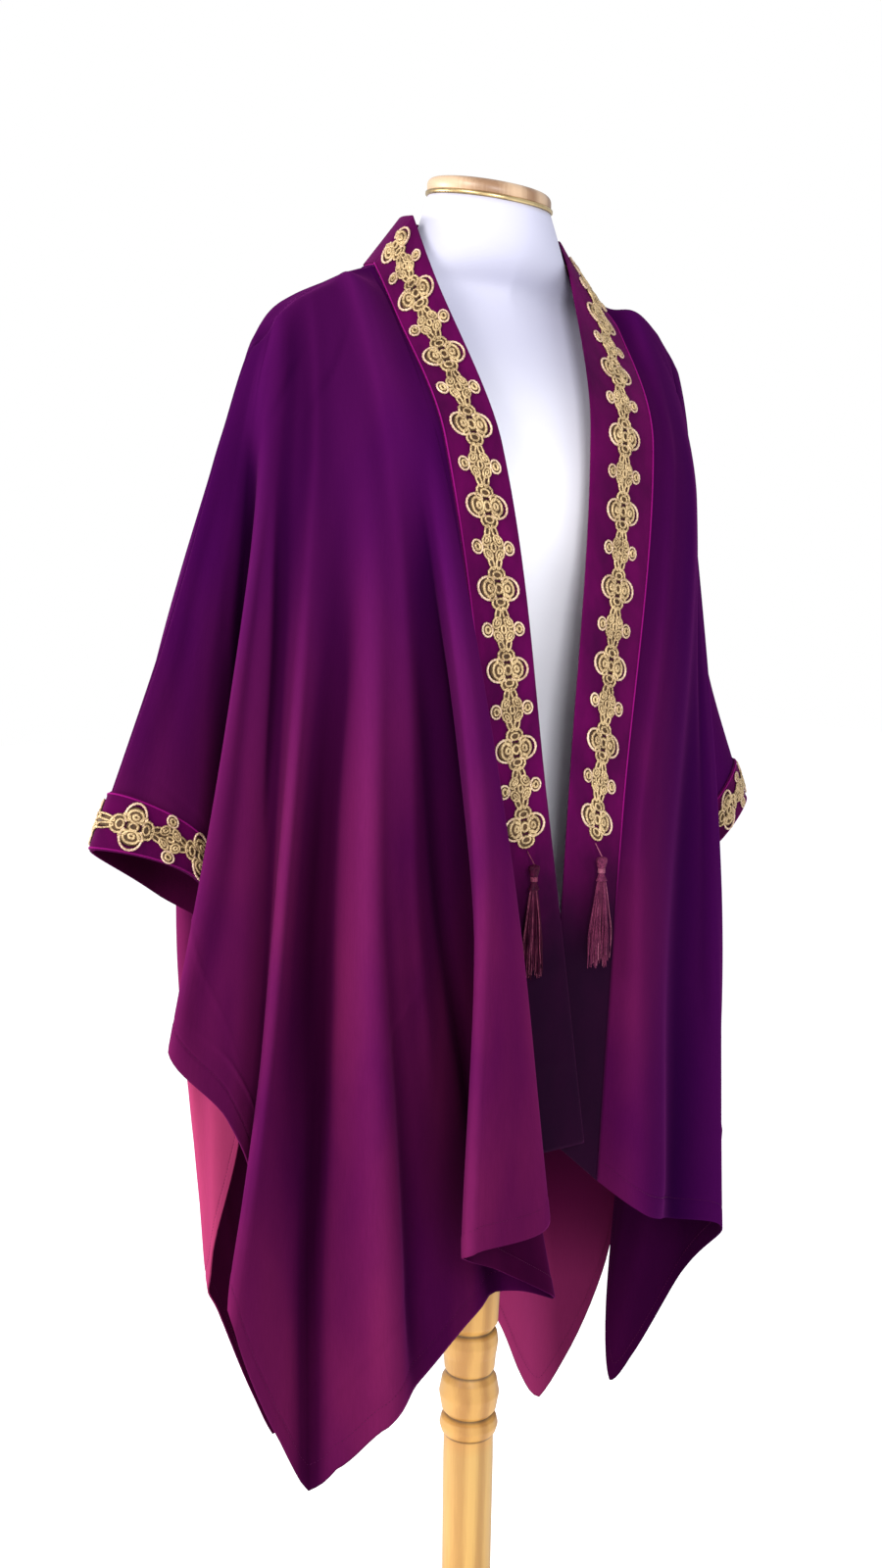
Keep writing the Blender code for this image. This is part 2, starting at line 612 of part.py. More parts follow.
def add_neck_trim(collection):
    """Add the lace on the band behind the neck."""
    turns = places(0.0, 1.0, NECK_TURNS)
    lengths = path_lengths(np.array([neck_band_point(0.5, turn)[0] for turn in turns]))

    def sample(distance, offset):
        place = float(np.interp(distance + TRIM_GAP, lengths, np.arange(NECK_TURNS + 1)))
        low = min(int(place), NECK_TURNS - 1)
        share = 0.5 + offset / BAND_WIDTH
        before, after = (neck_band_point(share, turns[low + step]) for step in (0, 1))
        mix = place - low
        return before[0] + mix * (after[0] - before[0]), unit(before[1] + mix * (after[1] - before[1]))

    length = lengths[-1] - 2 * TRIM_GAP
    return add_strip("trim_neck", sample, length, 0.0, lengths - TRIM_GAP, 1.0, BAND_WALL / 2, collection)


def add_cuff_trim(name, cuff, collection):
    """Add the lace on a cuff band."""
    points, normals, lift = cuff
    upper, lower = points[0], points[-1]
    middle = (upper + lower) / 2
    lengths = path_lengths(middle)
    turns = np.arange(len(lengths), dtype=float)

    def sample(distance, offset):
        turn = float(np.interp(distance + TRIM_GAP, lengths, turns))
        low = min(int(turn), len(lengths) - 2)
        share = turn - low
        top = upper[low] + share * (upper[low + 1] - upper[low])
        bottom = lower[low] + share * (lower[low + 1] - lower[low])
        normal = normals[1][low] + share * (normals[1][low + 1] - normals[1][low])
        height = np.linalg.norm(bottom - top)
        return top + (0.5 + offset / height) * (bottom - top), unit(normal)

    length = lengths[-1] - 2 * TRIM_GAP
    return add_strip(name, sample, length, 0.0, lengths - TRIM_GAP, CUFF_TRIM_SCALE, lift, collection)


def add_turned(name, profile, sides, spec, collection):
    """Add a turned shape from a profile that runs down its outer side."""
    data = bpy.data.meshes.new(name)
    data.from_pydata([(r, 0.0, z) for r, z in profile], [(i, i + 1) for i in range(len(profile) - 1)], [])
    obj = add_object(name, data, spec, collection)
    screw = obj.modifiers.new("turn", "SCREW")
    screw.steps = sides
    screw.render_steps = sides
    screw.use_merge_vertices = True
    screw.merge_threshold = 0.00005
    screw.use_smooth_shade = True
    return obj


def torso_ring(height, half_width, front, back, squareness):
    """Return one section of the dress form."""
    middle, half_depth = (front + back) / 2, (back - front) / 2
    ring = []
    for step in range(TORSO_SIDES):
        angle = 2 * math.pi * step / TORSO_SIDES
        x = math.copysign(abs(math.cos(angle)) ** (2 / squareness), math.cos(angle))
        y = math.copysign(abs(math.sin(angle)) ** (2 / squareness), math.sin(angle))
        ring.append((half_width * x, middle + half_depth * y, height))
    return ring


def neck_ring(radius, height):
    """Return a ring round the neck's tilted end."""
    ring = []
    for step in range(TORSO_SIDES):
        angle = 2 * math.pi * step / TORSO_SIDES
        x, y = radius * math.cos(angle), radius * math.sin(angle)
        ring.append((x, y, height + y * math.tan(NECK_TILT) - x * math.tan(NECK_LEAN)))
    return ring


def ring_solid(name, rings, spec, collection):
    """Add a closed loft through rings that run from the bottom to the top."""
    mesh = bmesh.new()
    loops = [[mesh.verts.new(point) for point in ring] for ring in rings]
    for low, high in zip(loops, loops[1:]):
        for i in range(len(low)):
            after = (i + 1) % len(low)
            mesh.faces.new((low[i], low[after], high[after], high[i]))
    mesh.faces.new(list(reversed(loops[0])))
    mesh.faces.new(loops[-1])
    bmesh.ops.recalc_face_normals(mesh, faces=mesh.faces)
    data = bpy.data.meshes.new(name)
    mesh.to_mesh(data)
    mesh.free()
    data.shade_smooth()
    return add_object(name, data, spec, collection)


def add_form(collection):
    """Add the dress form: torso, rim plate and cap on the neck, pole and base."""
    rings = [torso_ring(*section) for section in TORSO_SECTIONS]
    for half_width, front, back, squareness in SHOULDER_SECTIONS:
        height = top_point("shoulder", half_width)[2] - SHOULDER_CLEARANCE
        rings.append(torso_ring(height, half_width, front, back, squareness))
    rings += [torso_ring(*section) for section in NECK_SECTIONS]
    rings.append(neck_ring(NECK_RADIUS, NECK_TOP_Z))
    ring_solid("form_torso", rings, FORM_CLOTH, collection)
    rim_low = NECK_TOP_Z + FORM_GAP
    rim_high = rim_low + RIM_THICKNESS
    rim = [neck_ring(CAP_RADIUS + 0.0015, z) for z in (rim_low, rim_high)]
    ring_solid("neck_rim", rim, BRASS, collection)
    cap_low = rim_high + FORM_GAP
    cap = [
        neck_ring(CAP_RADIUS, cap_low),
        neck_ring(CAP_RADIUS, cap_low + CAP_THICKNESS * 0.6),
        neck_ring(CAP_RADIUS - 0.002, cap_low + CAP_THICKNESS * 0.88),
        neck_ring(CAP_RADIUS - 0.007, cap_low + CAP_THICKNESS),
    ]
    ring_solid("neck_cap", cap, CAP_WOOD, collection)
    add_turned("pole", POLE_PROFILE, POLE_SIDES, POLE_WOOD, collection)
    add_turned("base", BASE_PROFILE, BASE_SIDES, POLE_WOOD, collection)


def add_tassel(name, first, collection):
    """Add a tassel: a turned head whose underside is drawn out into strands, clear of its band."""
    top, away = tassel_top(first)
    mesh = bmesh.new()
    angles = [2 * math.pi * step / TASSEL_SIDES for step in range(TASSEL_SIDES)]

    def ring(radius, height):
        return [mesh.verts.new((radius * math.cos(a), radius * math.sin(a), height)) for a in angles]

    loops = [ring(radius, height) for radius, height in TASSEL_HEAD]
    mesh.faces.new(loops[0])
    for high, low in zip(loops, loops[1:]):
        for i in range(TASSEL_SIDES):
            after = (i + 1) % TASSEL_SIDES
            mesh.faces.new((high[i], low[i], low[after], high[after]))
    root_z = TASSEL_HEAD[-1][1]
    core = ring(TASSEL_CORE, root_z)
    middle = mesh.verts.new((0.0, 0.0, root_z))
    roots = []
    for i in range(TASSEL_SIDES):
        after = (i + 1) % TASSEL_SIDES
        roots.append(mesh.faces.new((loops[-1][i], core[i], core[after], loops[-1][after])))
        roots.append(mesh.faces.new((core[i], middle, core[after])))
    bmesh.ops.recalc_face_normals(mesh, faces=mesh.faces)
    bmesh.ops.inset_individual(mesh, faces=roots, thickness=STRAND_INSET)
    for flare in STRAND_FLARE:
        drawn = bmesh.ops.extrude_discrete_faces(mesh, faces=roots)
        roots = drawn["faces"]
        for index, face in enumerate(roots):
            outward = face.calc_center_median()
            drop = STRAND_LENGTH / len(STRAND_FLARE) * (1.0 + STRAND_UNEVEN * math.sin(3.1 * index))
            for vert in face.verts:
                vert.co += Vector((outward.x * flare, outward.y * flare * STRAND_FLATNESS, -drop))
    for vert in mesh.verts:
        share = min(vert.co.z / TASSEL_HEAD[1][1], 1.0)
        vert.co += Vector(top) + Vector(away) * (share * TASSEL_STANDOFF)
    data = bpy.data.meshes.new(name)
    mesh.to_mesh(data)
    mesh.free()
    return add_object(name, data, TASSEL_THREAD, collection)


def tassel_top(first):
    """Return where a tassel's thread leaves the lower end of its trim, and the way out of the cape there."""
    length, _, place = front_trim_path(first)
    point, normal = band_point(first, 0.5, place(length))
    lift = BAND_WALL / 2 + LAY_GAP + TRIM_WALL / 2
    return point + normal * lift - np.array([0.0, 0.0, THREAD_GAP]), normal


def build():
    """Build the whole part."""
    clear_scene()
    collection = bpy.data.collections.new(COLLECTION_NAME)
    bpy.context.scene.collection.children.link(collection)
    add_panel("front_right", RIGHT_SEAM, SLEEVE_RIGHT_AT, collection)
    add_panel("back", SLEEVE_RIGHT_AT, SLEEVE_LEFT_AT, collection)
    add_panel("front_left", SLEEVE_LEFT_AT, LEFT_SEAM, collection)
    add_band("band_right", 0, 0.0, SEAM_GAP, collection)
    add_band("band_left", LEFT_SEAM, SEAM_GAP, 0.0, collection)
    add_neck_band(collection)
    cuff_right = add_cuff("cuff_right", SLEEVE_RIGHT_AT, collection)
    cuff_left = add_cuff("cuff_left", SLEEVE_LEFT_AT, collection)
    add_front_trim("trim_right", 0, collection)
    add_front_trim("trim_left", LEFT_SEAM, collection)
    add_neck_trim(collection)
    add_cuff_trim("trim_cuff_right", cuff_right, collection)
    add_cuff_trim("trim_cuff_left", cuff_left, collection)
    add_tassel("tassel_right", 0, collection)
    add_tassel("tassel_left", LEFT_SEAM, collection)
    add_form(collection)


build()
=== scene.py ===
"""Looks of the cape on its dress form: fine draped cloth, corded lace, tassels, turned wood and the studio.

Units are metres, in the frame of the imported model. The tables of hang lines are those of the part's source,
and the cloth is drawn from them with more points, its own small creases, hems and stitching.
"""

import math

import bpy
import numpy as np
from mathutils import Matrix, Vector

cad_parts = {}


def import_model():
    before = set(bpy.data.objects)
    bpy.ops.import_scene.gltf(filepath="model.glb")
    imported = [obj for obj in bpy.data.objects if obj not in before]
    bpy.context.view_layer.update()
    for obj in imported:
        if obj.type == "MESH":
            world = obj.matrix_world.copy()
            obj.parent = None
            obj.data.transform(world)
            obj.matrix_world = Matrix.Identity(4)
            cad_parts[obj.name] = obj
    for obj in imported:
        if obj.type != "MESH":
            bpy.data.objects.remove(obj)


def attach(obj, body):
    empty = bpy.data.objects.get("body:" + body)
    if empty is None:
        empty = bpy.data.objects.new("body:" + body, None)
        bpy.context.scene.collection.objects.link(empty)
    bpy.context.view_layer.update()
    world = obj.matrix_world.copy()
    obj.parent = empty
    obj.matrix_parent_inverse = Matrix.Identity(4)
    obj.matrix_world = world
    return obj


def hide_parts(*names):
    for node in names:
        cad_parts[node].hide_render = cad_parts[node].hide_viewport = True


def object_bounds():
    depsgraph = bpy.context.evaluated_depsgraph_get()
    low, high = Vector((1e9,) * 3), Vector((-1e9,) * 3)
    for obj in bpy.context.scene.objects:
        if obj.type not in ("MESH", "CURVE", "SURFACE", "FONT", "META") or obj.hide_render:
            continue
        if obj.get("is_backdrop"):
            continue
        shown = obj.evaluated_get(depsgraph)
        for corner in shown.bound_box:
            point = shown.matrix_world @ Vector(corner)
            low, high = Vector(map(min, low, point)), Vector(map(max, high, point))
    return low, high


# Cloth sizes
CLOTH_WALL = 0.0016
BAND_WALL = 0.0018
TRIM_WALL = 0.0020
LAY_GAP = 0.0006
BAND_WIDTH = 0.062

# Shoulder line, from the seam at the side of the neck to the shoulder tip
SHOULDER_LINE_X = (0.122, 0.152, 0.180, 0.203, 0.219, 0.229)
SHOULDER_LINE_Z = (1.398, 1.388, 1.374, 1.359, 1.343, 1.321)
NECK_SEAM_X = SHOULDER_LINE_X[0]
NECK_SEAM_Z = SHOULDER_LINE_Z[0]
SHOULDER_TIP_X = SHOULDER_LINE_X[-1]
NECK_EDGE_X = 0.082
NECK_EDGE_Z = 1.445
NECK_SEAM_BACK_Y = 0.090
NECK_EDGE_BACK_Y = 0.073
NECK_RISE = 0.012

# Where each hang line's stations lie along the sheet: top, crest, break, low, end. The crest rounds the
# cloth over the shoulder: it lies these shares of the way from the top to the break, and a little further
# to the front or the back.
STATIONS = (0.0, 0.09, 0.24, 0.62, 1.0)
CREST_OUT = 0.34
CREST_DOWN = 0.10
CREST_FORWARD = 0.008

# Hang lines, in millimetres: x of the top on the shoulder line, then x, y and z of the points where the cloth
# leaves the body (break), hangs free (low) and ends at its edge (end)
RIGHT_FRONT = [
    (-82, -79, -131, 1241, -40, -153, 940, 6, -158, 635),  # edge
    (-122, -137, -129, 1243, -93, -147, 930, -50, -152, 632),  # seam
    (-131, -145, -132, 1236, -90, -169, 895, -53, -182, 579),  # flap_right_ridge
    (-140, -153, -132, 1228, -128, -173, 890, -143, -190, 578),  # flap_left_ridge
    (-147, -160, -129, 1222, -110, -141, 880, -75, -146, 530),  # flap_back
    (-152, -166, -126, 1216, -80, -119, 850, 14, -112, 468),  # hidden_ridge
    (-158, -172, -122, 1212, -115, -108, 840, -37, -94, 478),  # return
    (-164, -180, -116, 1208, -162, -120, 830, -134, -122, 445),  # front
    (-174, -192, -103, 1206, -205, -126, 820, -197, -152, 427),  # broad_ridge
    (-185, -204, -83, 1207, -232, -82, 800, -257, -128, 375),  # corner_valley
    (-194, -218, -62, 1210, -272, -92, 800, -318, -108, 535),  # outer_ridge
    (-201, -230, -50, 1215, -266, -72, 820, -280, -74, 618),  # outer_valley
    (-208, -240, -44, 1220, -286, -72, 890, -306, -78, 692),  # side
    (-213, -247, -37, 1228, -304, -62, 975, -353, -70, 759),  # side_ridge
    (-218, -248, -28, 1235, -252, -20, 985, -236, -12, 778),  # flank
    (-222, -250, -20, 1240, -254, 4, 1000, -243, 12, 795),  # underarm
    (-225, -255, -13, 1245, -290, -10, 1040, -302, -10, 880),  # cuff
]
SLEEVE_RIGHT = (-229, -267, 0, 1245, -318, 0, 1085, -386, 0, 909)
BACK = [
    (-225, -256, 16, 1243, -302, 44, 1030, -303, 68, 855),  # cuff
    (-221, -247, 26, 1238, -252, 34, 1000, -242, 32, 795),  # underarm
    (-214, -241, 38, 1234, -238, 56, 890, -222, 60, 630),  # edge
    (-207, -237, 51, 1230, -244, 80, 850, -238, 90, 490),  # edge_low
    (-199, -231, 65, 1225, -262, 108, 830, -212, 122, 412),  # side_ridge
    (-190, -221, 81, 1220, -226, 130, 800, -146, 140, 262),  # corner
    (-175, -196, 98, 1215, -175, 120, 830, -122, 118, 335),  # valley_1
    (-157, -165, 108, 1210, -134, 152, 830, -96, 170, 395),  # ridge_1
    (-137, -124, 110, 1210, -86, 122, 840, -62, 128, 440),  # valley_2
    (-90, -80, 112, 1210, -46, 150, 850, -28, 172, 450),  # ridge_2
    (-30, -22, 108, 1205, 8, 119, 850, 18, 132, 440),  # valley_3
    (50, 52, 112, 1210, 62, 152, 845, 70, 166, 410),  # ridge_3
    (129, 120, 110, 1210, 112, 121, 830, 112, 110, 335),  # valley_4
    (166, 190, 98, 1215, 195, 140, 800, 159, 85, 234),  # corner
    (199, 230, 66, 1225, 262, 100, 800, 246, 78, 375),  # edge_low
    (212, 235, 40, 1234, 260, 60, 880, 264, 64, 600),  # edge
    (221, 240, 26, 1238, 254, 34, 1000, 252, 36, 795),  # underarm
    (225, 240, 16, 1243, 282, 42, 1030, 312, 56, 850),  # cuff
]
SLEEVE_LEFT = (229, 247, 0, 1250, 284, 4, 1070, 360, 8, 900)
LEFT_FRONT = [
    (225, 241, -13, 1245, 266, -19, 1040, 298, -28, 868),  # cuff
    (222, 237, -20, 1240, 246, 4, 1000, 249, 14, 795),  # underarm
    (218, 233, -27, 1236, 232, -12, 960, 238, 14, 715),  # flank
    (213, 227, -34, 1231, 236, -34, 880, 230, 44, 500),  # edge
    (208, 220, -41, 1226, 248, -44, 800, 212, 28, 264),  # corner
    (201, 212, -48, 1220, 254, -60, 830, 262, -30, 402),  # wrap
    (193, 206, -58, 1215, 232, -86, 820, 244, -100, 478),  # front_ridge
    (174, 186, -86, 1210, 166, -100, 840, 166, -105, 508),  # valley
    (148, 142, -112, 1220, 82, -150, 880, 90, -152, 545),  # broad_ridge
    (122, 98, -120, 1250, 50, -147, 920, 40, -138, 585),  # seam
    (82, 15, -131, 1262, -15, -150, 950, -22, -138, 640),  # edge
]
LINES = RIGHT_FRONT + [SLEEVE_RIGHT] + BACK + [SLEEVE_LEFT] + LEFT_FRONT

RIGHT_SEAM = 1
SLEEVE_RIGHT_AT = len(RIGHT_FRONT)
SLEEVE_LEFT_AT = SLEEVE_RIGHT_AT + len(BACK) + 1
LAST = len(LINES) - 1
LEFT_SEAM = LAST - 1

# Crests of the two front bands and of the folds beside the right one, by hang line
FRONT_CRESTS = {
    0: (-0.095, -0.054, 1.384),
    1: (-0.134, -0.050, 1.352),
    2: (-0.140, -0.052, 1.355),
    3: (-0.147, -0.053, 1.358),
    4: (-0.153, -0.053, 1.361),
    5: (-0.159, -0.053, 1.364),
    6: (-0.165, -0.052, 1.367),
    7: (-0.173, -0.049, 1.369),
    LAST - 1: (0.120, -0.046, 1.358),
    LAST: (0.056, -0.050, 1.398),
}

# Hanging corners come to a point: hang line, and how far the edge rises beside it (before and after it)
CORNERS = [
    (9.0, 0.026, 0.014),
    (23.0, 0.012, 0.012),
    (31.0, 0.012, 0.012),
    (41.0, 0.012, 0.012),
]
CORNER_REACH = 0.22

# Steps for working out directions: along the shoulder line, and across the sheet
SHOULDER_STEP = 0.005
NORMAL_STEP = 0.02

# A cuff: how many hang lines it covers on each side of the sleeve's middle one, and its place down the cloth
CUFF_REACH = 5 / 3
CUFF_TOP = 0.90


# Lace trim: one repeat, which holds a four-lobed flower and a small cross, where the lace of the fronts ends
# (its height, and its place in the repeat), and the width of the cuffs' lace against that of the fronts
TRIM_REPEAT = 0.067
TRIM_END_Z = 0.904
TRIM_END_SHARE = 0.30
CUFF_TRIM_SCALE = 0.95

# Tassels: radius and depth down the head, and the strands, thread and distance from the cloth
TASSEL_HEAD = [
    (0.0008, 0.0000),
    (0.0008, -0.0105),
    (0.0048, -0.0118),
    (0.0054, -0.0140),
    (0.0042, -0.0190),
    (0.0024, -0.0230),
    (0.0028, -0.0265),
    (0.0054, -0.0320),
]
STRAND_LENGTH = 0.075
THREAD_GAP = 0.0008
TASSEL_STANDOFF = 0.0092

# Dress form: height, half width, front and back of each section, and how square it is
TORSO_SECTIONS = [
    (0.765, 0.128, -0.070, 0.078, 2.3),
    (0.772, 0.138, -0.077, 0.085, 2.3),
    (0.830, 0.146, -0.082, 0.090, 2.3),
    (0.930, 0.132, -0.080, 0.080, 2.3),
    (1.010, 0.122, -0.082, 0.070, 2.3),
    (1.090, 0.136, -0.098, 0.074, 2.3),
    (1.160, 0.152, -0.114, 0.082, 2.3),
    (1.215, 0.160, -0.114, 0.086, 2.3),
    (1.270, 0.168, -0.096, 0.084, 2.3),
    (1.312, 0.181, -0.074, 0.072, 2.2),
    (1.338, 0.188, -0.056, 0.054, 2.0),
    (1.356, 0.183, -0.042, 0.042, 1.5),
]
# Half width, front and back of the sections whose ends lie just under the cape's shoulder line
SHOULDER_SECTIONS = [
    (0.172, -0.034, 0.034, 1.10),
    (0.156, -0.030, 0.030, 1.10),
    (0.140, -0.026, 0.026, 1.10),
]
NECK_SECTIONS = [
    (1.3950, 0.106, -0.042, 0.042, 1.4),
    (1.4020, 0.090, -0.051, 0.051, 1.7),
    (1.4110, 0.079, -0.058, 0.058, 1.9),
    (1.4230, 0.072, -0.062, 0.062, 2.0),
    (1.4350, 0.067, -0.063, 0.063, 2.0),
    (1.4460, 0.063, -0.062, 0.062, 2.0),
]
SHOULDER_CLEARANCE = 0.0014
NECK_RADIUS = 0.0555
NECK_TILT = math.radians(9.5)
NECK_LEAN = math.radians(3.0)
RIM_THICKNESS = 0.0035
CAP_THICKNESS = 0.0120
CAP_RADIUS = 0.0560
FORM_GAP = 0.0003
NECK_TOP_Z = 1.4650

# Turned pole: radius and height down its outer side
POLE_TOP_Z = 0.7647
POLE_PROFILE = [
    (0.0290, POLE_TOP_Z),
    (0.0290, 0.560),
    (0.0270, 0.520),
    (0.0290, 0.440),
    (0.0275, 0.404),
    (0.0228, 0.397),
    (0.0268, 0.393),
    (0.0282, 0.384),
    (0.0268, 0.373),
    (0.0262, 0.371),
    (0.0250, 0.356),
    (0.0226, 0.352),
    (0.0272, 0.345),
    (0.0300, 0.330),
    (0.0270, 0.313),
    (0.0226, 0.308),
    (0.0275, 0.304),
    (0.0292, 0.297),
    (0.0272, 0.290),
    (0.0246, 0.287),
    (0.0250, 0.260),
    (0.0244, 0.120),
    (0.0265, 0.060),
    (0.0340, 0.0263),
]
BASE_RADIUS = 0.165
BASE_HEIGHT = 0.026
BASE_PROFILE = [
    (0.140, BASE_HEIGHT),
    (0.158, 0.021),
    (BASE_RADIUS, 0.012),
    (BASE_RADIUS, 0.003),
    (0.162, 0.000),
]

# Cloth mesh: columns between two hang lines of each panel, rows over the shoulder, the fall and the hem, the
# hem, its stitches, the reach of the folds' painted shade and light, and the bands with their welts
PANEL_COLUMNS = {"front_right": 12, "back": 11, "front_left": 15}
TOP_ROWS = 10
FALL_ROWS = 150
HEM_ROWS = 14
HEM_SHARE = 0.955
SHELL_WALL = 0.0009
HEM_WIDTH = 0.021
HEM_EXTRA = 0.0006
STITCH_PITCH = 0.0036
STITCH_LENGTH = 0.0026
STITCH_RADIUS = 0.00028
STITCH_FACES = ((0, 1, 2), (0, 2, 3), (0, 5, 1), (0, 3, 5), (4, 2, 1), (4, 3, 2), (4, 1, 5), (4, 5, 3))
TOP_SHARE = 0.04
SEAM_RISE = 0.0007
HEM_GROOVE = 0.0005
HEM_PUFF = 0.0002
HOLLOW_REACH = 0.035
HOLLOW_DEPTH = 0.010
BAND_ROWS = 221
BAND_PUFF = 0.00027
WELT_RADIUS = 0.0007
WELT_SIDES = 6

# Dress form: points round it, and how many of its upper rings are softened, how often
FORM_SIDES = 96
SOFT_RINGS = 44
SOFT_ROUNDS = 60

UP = np.array([0.0, 0.0, 1.0])

# Creases laid on the cloth: hang line at the top and at the bottom (counted as in the table), places
# along at the top and at the bottom, height at the top and at the bottom (mm, below zero is a trough) and
# half width (mm)
CREASES = [
    (2.6, 3.1, 0.30, 0.98, 1.0, 3.0, 9.0),
    (6.6, 6.7, 0.20, 0.70, 0.8, 1.6, 7.0),
    (7.4, 7.3, 0.22, 0.93, -1.0, -3.0, 9.0),
    (6.0, 6.0, 0.46, 0.99, -1.4, -4.0, 7.0),
    (7.9, 7.8, 0.34, 0.96, 0.8, 2.2, 16.0),
    (8.6, 9.0, 0.40, 0.97, -1.8, -4.6, 8.0),
    (9.9, 10.0, 0.10, 0.97, 1.4, 2.8, 6.0),
    (11.6, 11.4, 0.10, 0.44, -1.6, -2.4, 8.0),
    (12.3, 12.5, 0.26, 0.90, -1.0, -2.6, 9.0),
    (13.6, 13.5, 0.12, 0.55, 1.2, 1.0, 10.0),
    (15.6, 15.2, 0.14, 0.74, 1.4, 0.8, 9.0),
    (16.5, 16.6, 0.34, 0.88, -1.2, -1.6, 8.0),
    (17.6, 17.5, 0.30, 0.86, 1.4, 2.0, 9.0),
    (21.5, 21.6, 0.30, 0.96, 1.0, 3.0, 12.0),
    (22.4, 22.6, 0.16, 0.82, -1.2, -2.6, 10.0),
    (24.5, 24.4, 0.24, 0.94, -1.0, -2.6, 10.0),
    (26.4, 26.6, 0.12, 0.72, 1.2, 2.2, 10.0),
    (28.6, 28.5, 0.30, 0.96, 1.2, 3.0, 12.0),
    (30.4, 30.6, 0.20, 0.90, -1.0, -2.8, 12.0),
    (32.5, 32.4, 0.24, 0.86, 1.2, 2.4, 10.0),
    (35.5, 35.4, 0.30, 0.84, -1.0, -2.0, 8.0),
    (37.5, 37.6, 0.28, 0.85, 1.0, 1.8, 8.0),
    (40.4, 40.6, 0.26, 0.92, -1.0, -2.4, 9.0),
    (42.5, 42.4, 0.20, 0.88, 1.2, 2.4, 10.0),
    (43.5, 43.3, 0.14, 0.70, -1.4, -2.0, 9.0),
    (44.4, 44.6, 0.24, 0.95, 1.2, 3.4, 13.0),
    (45.5, 45.5, 0.12, 0.60, 1.0, 1.8, 9.0),
]
CREASE_FADE = 0.10
CREASE_DEPTH = 1.7

# Short slanting wrinkles: hang line, place along, reach in hang lines, reach along, height and half width (mm)
WRINKLES = [
    (7.2, 0.68, 0.8, 0.035, 1.0, 4.0),
    (7.9, 0.72, 0.7, -0.030, 0.9, 4.0),
    (8.0, 0.93, 0.9, 0.020, -1.0, 4.0),
    (5.2, 0.90, 0.8, 0.025, 1.0, 4.0),
    (11.8, 0.90, 0.8, 0.030, 1.2, 4.0),
    (12.6, 0.84, 0.7, -0.035, 1.0, 4.0),
    (16.6, 0.86, 0.9, -0.020, -0.9, 4.0),
    (9.0, 0.15, 1.6, 0.050, -1.1, 7.0),
    (12.0, 0.17, 1.8, 0.050, -1.0, 7.0),
    (28.0, 0.12, 2.0, 0.030, -0.9, 8.0),
    (24.0, 0.10, 2.0, -0.030, -0.9, 8.0),
    (41.8, 0.18, 1.6, -0.050, -1.0, 7.0),
    (44.0, 0.14, 0.9, -0.040, -1.0, 7.0),
    (42.8, 0.88, 0.8, 0.025, 1.0, 4.0),
    (38.9, 0.82, 0.8, 0.030, 1.0, 4.0),
]

# Wrinkles across the bands below the last lace: place along, slant along, height (mm), half width along
BAND_WRINKLES = {
    "band_right": [
        (0.66, 0.006, 0.9, 0.007),
        (0.73, -0.008, 1.1, 0.006),
        (0.80, 0.007, 0.9, 0.007),
        (0.90, -0.005, 1.0, 0.006),
    ],
    "band_left": [
        (0.64, 0.008, 1.2, 0.006),
        (0.69, -0.006, 1.0, 0.005),
        (0.75, 0.008, 1.3, 0.006),
        (0.83, -0.007, 1.0, 0.006),
    ],
}

# Lace, in millimetres: one repeat from a flower's middle to the next. Each pad is its place along and
# across, its two radii, its height and its turn in degrees; each cord is its place, radii, the angles from
# and to, its own radius, its height above the ground and its turn. A row off the middle stands for its
# mirror image too.
LACE_PADS = [
    (0.0, 9.0, 9.0, 8.2, 1.1, 0.0),
    (11.8, 0.0, 5.4, 8.0, 1.0, 0.0),
    (-11.8, 0.0, 5.4, 8.0, 1.0, 0.0),
    (0.0, 0.0, 6.0, 5.0, 0.9, 0.0),
    (20.5, 0.0, 6.0, 4.8, 0.8, 0.0),
    (-20.5, 0.0, 6.0, 4.8, 0.8, 0.0),
    (33.5, 0.0, 9.0, 4.0, 0.9, 0.0),
    (33.5, 15.2, 4.8, 4.2, 1.2, 0.0),
    (33.5, 9.2, 2.6, 4.0, 0.8, 0.0),
    (27.9, 5.4, 4.8, 3.6, 0.9, 38.0),
    (39.1, 5.4, 4.8, 3.6, 0.9, -38.0),
]
OUTER_CORDS = [
    (0.0, 9.2, 10.4, 9.4, -128.0, 128.0, 1.05, 0.9, 90.0),
    (33.5, 15.4, 5.4, 4.8, -180.0, 180.0, 0.90, 1.0, 0.0),
]
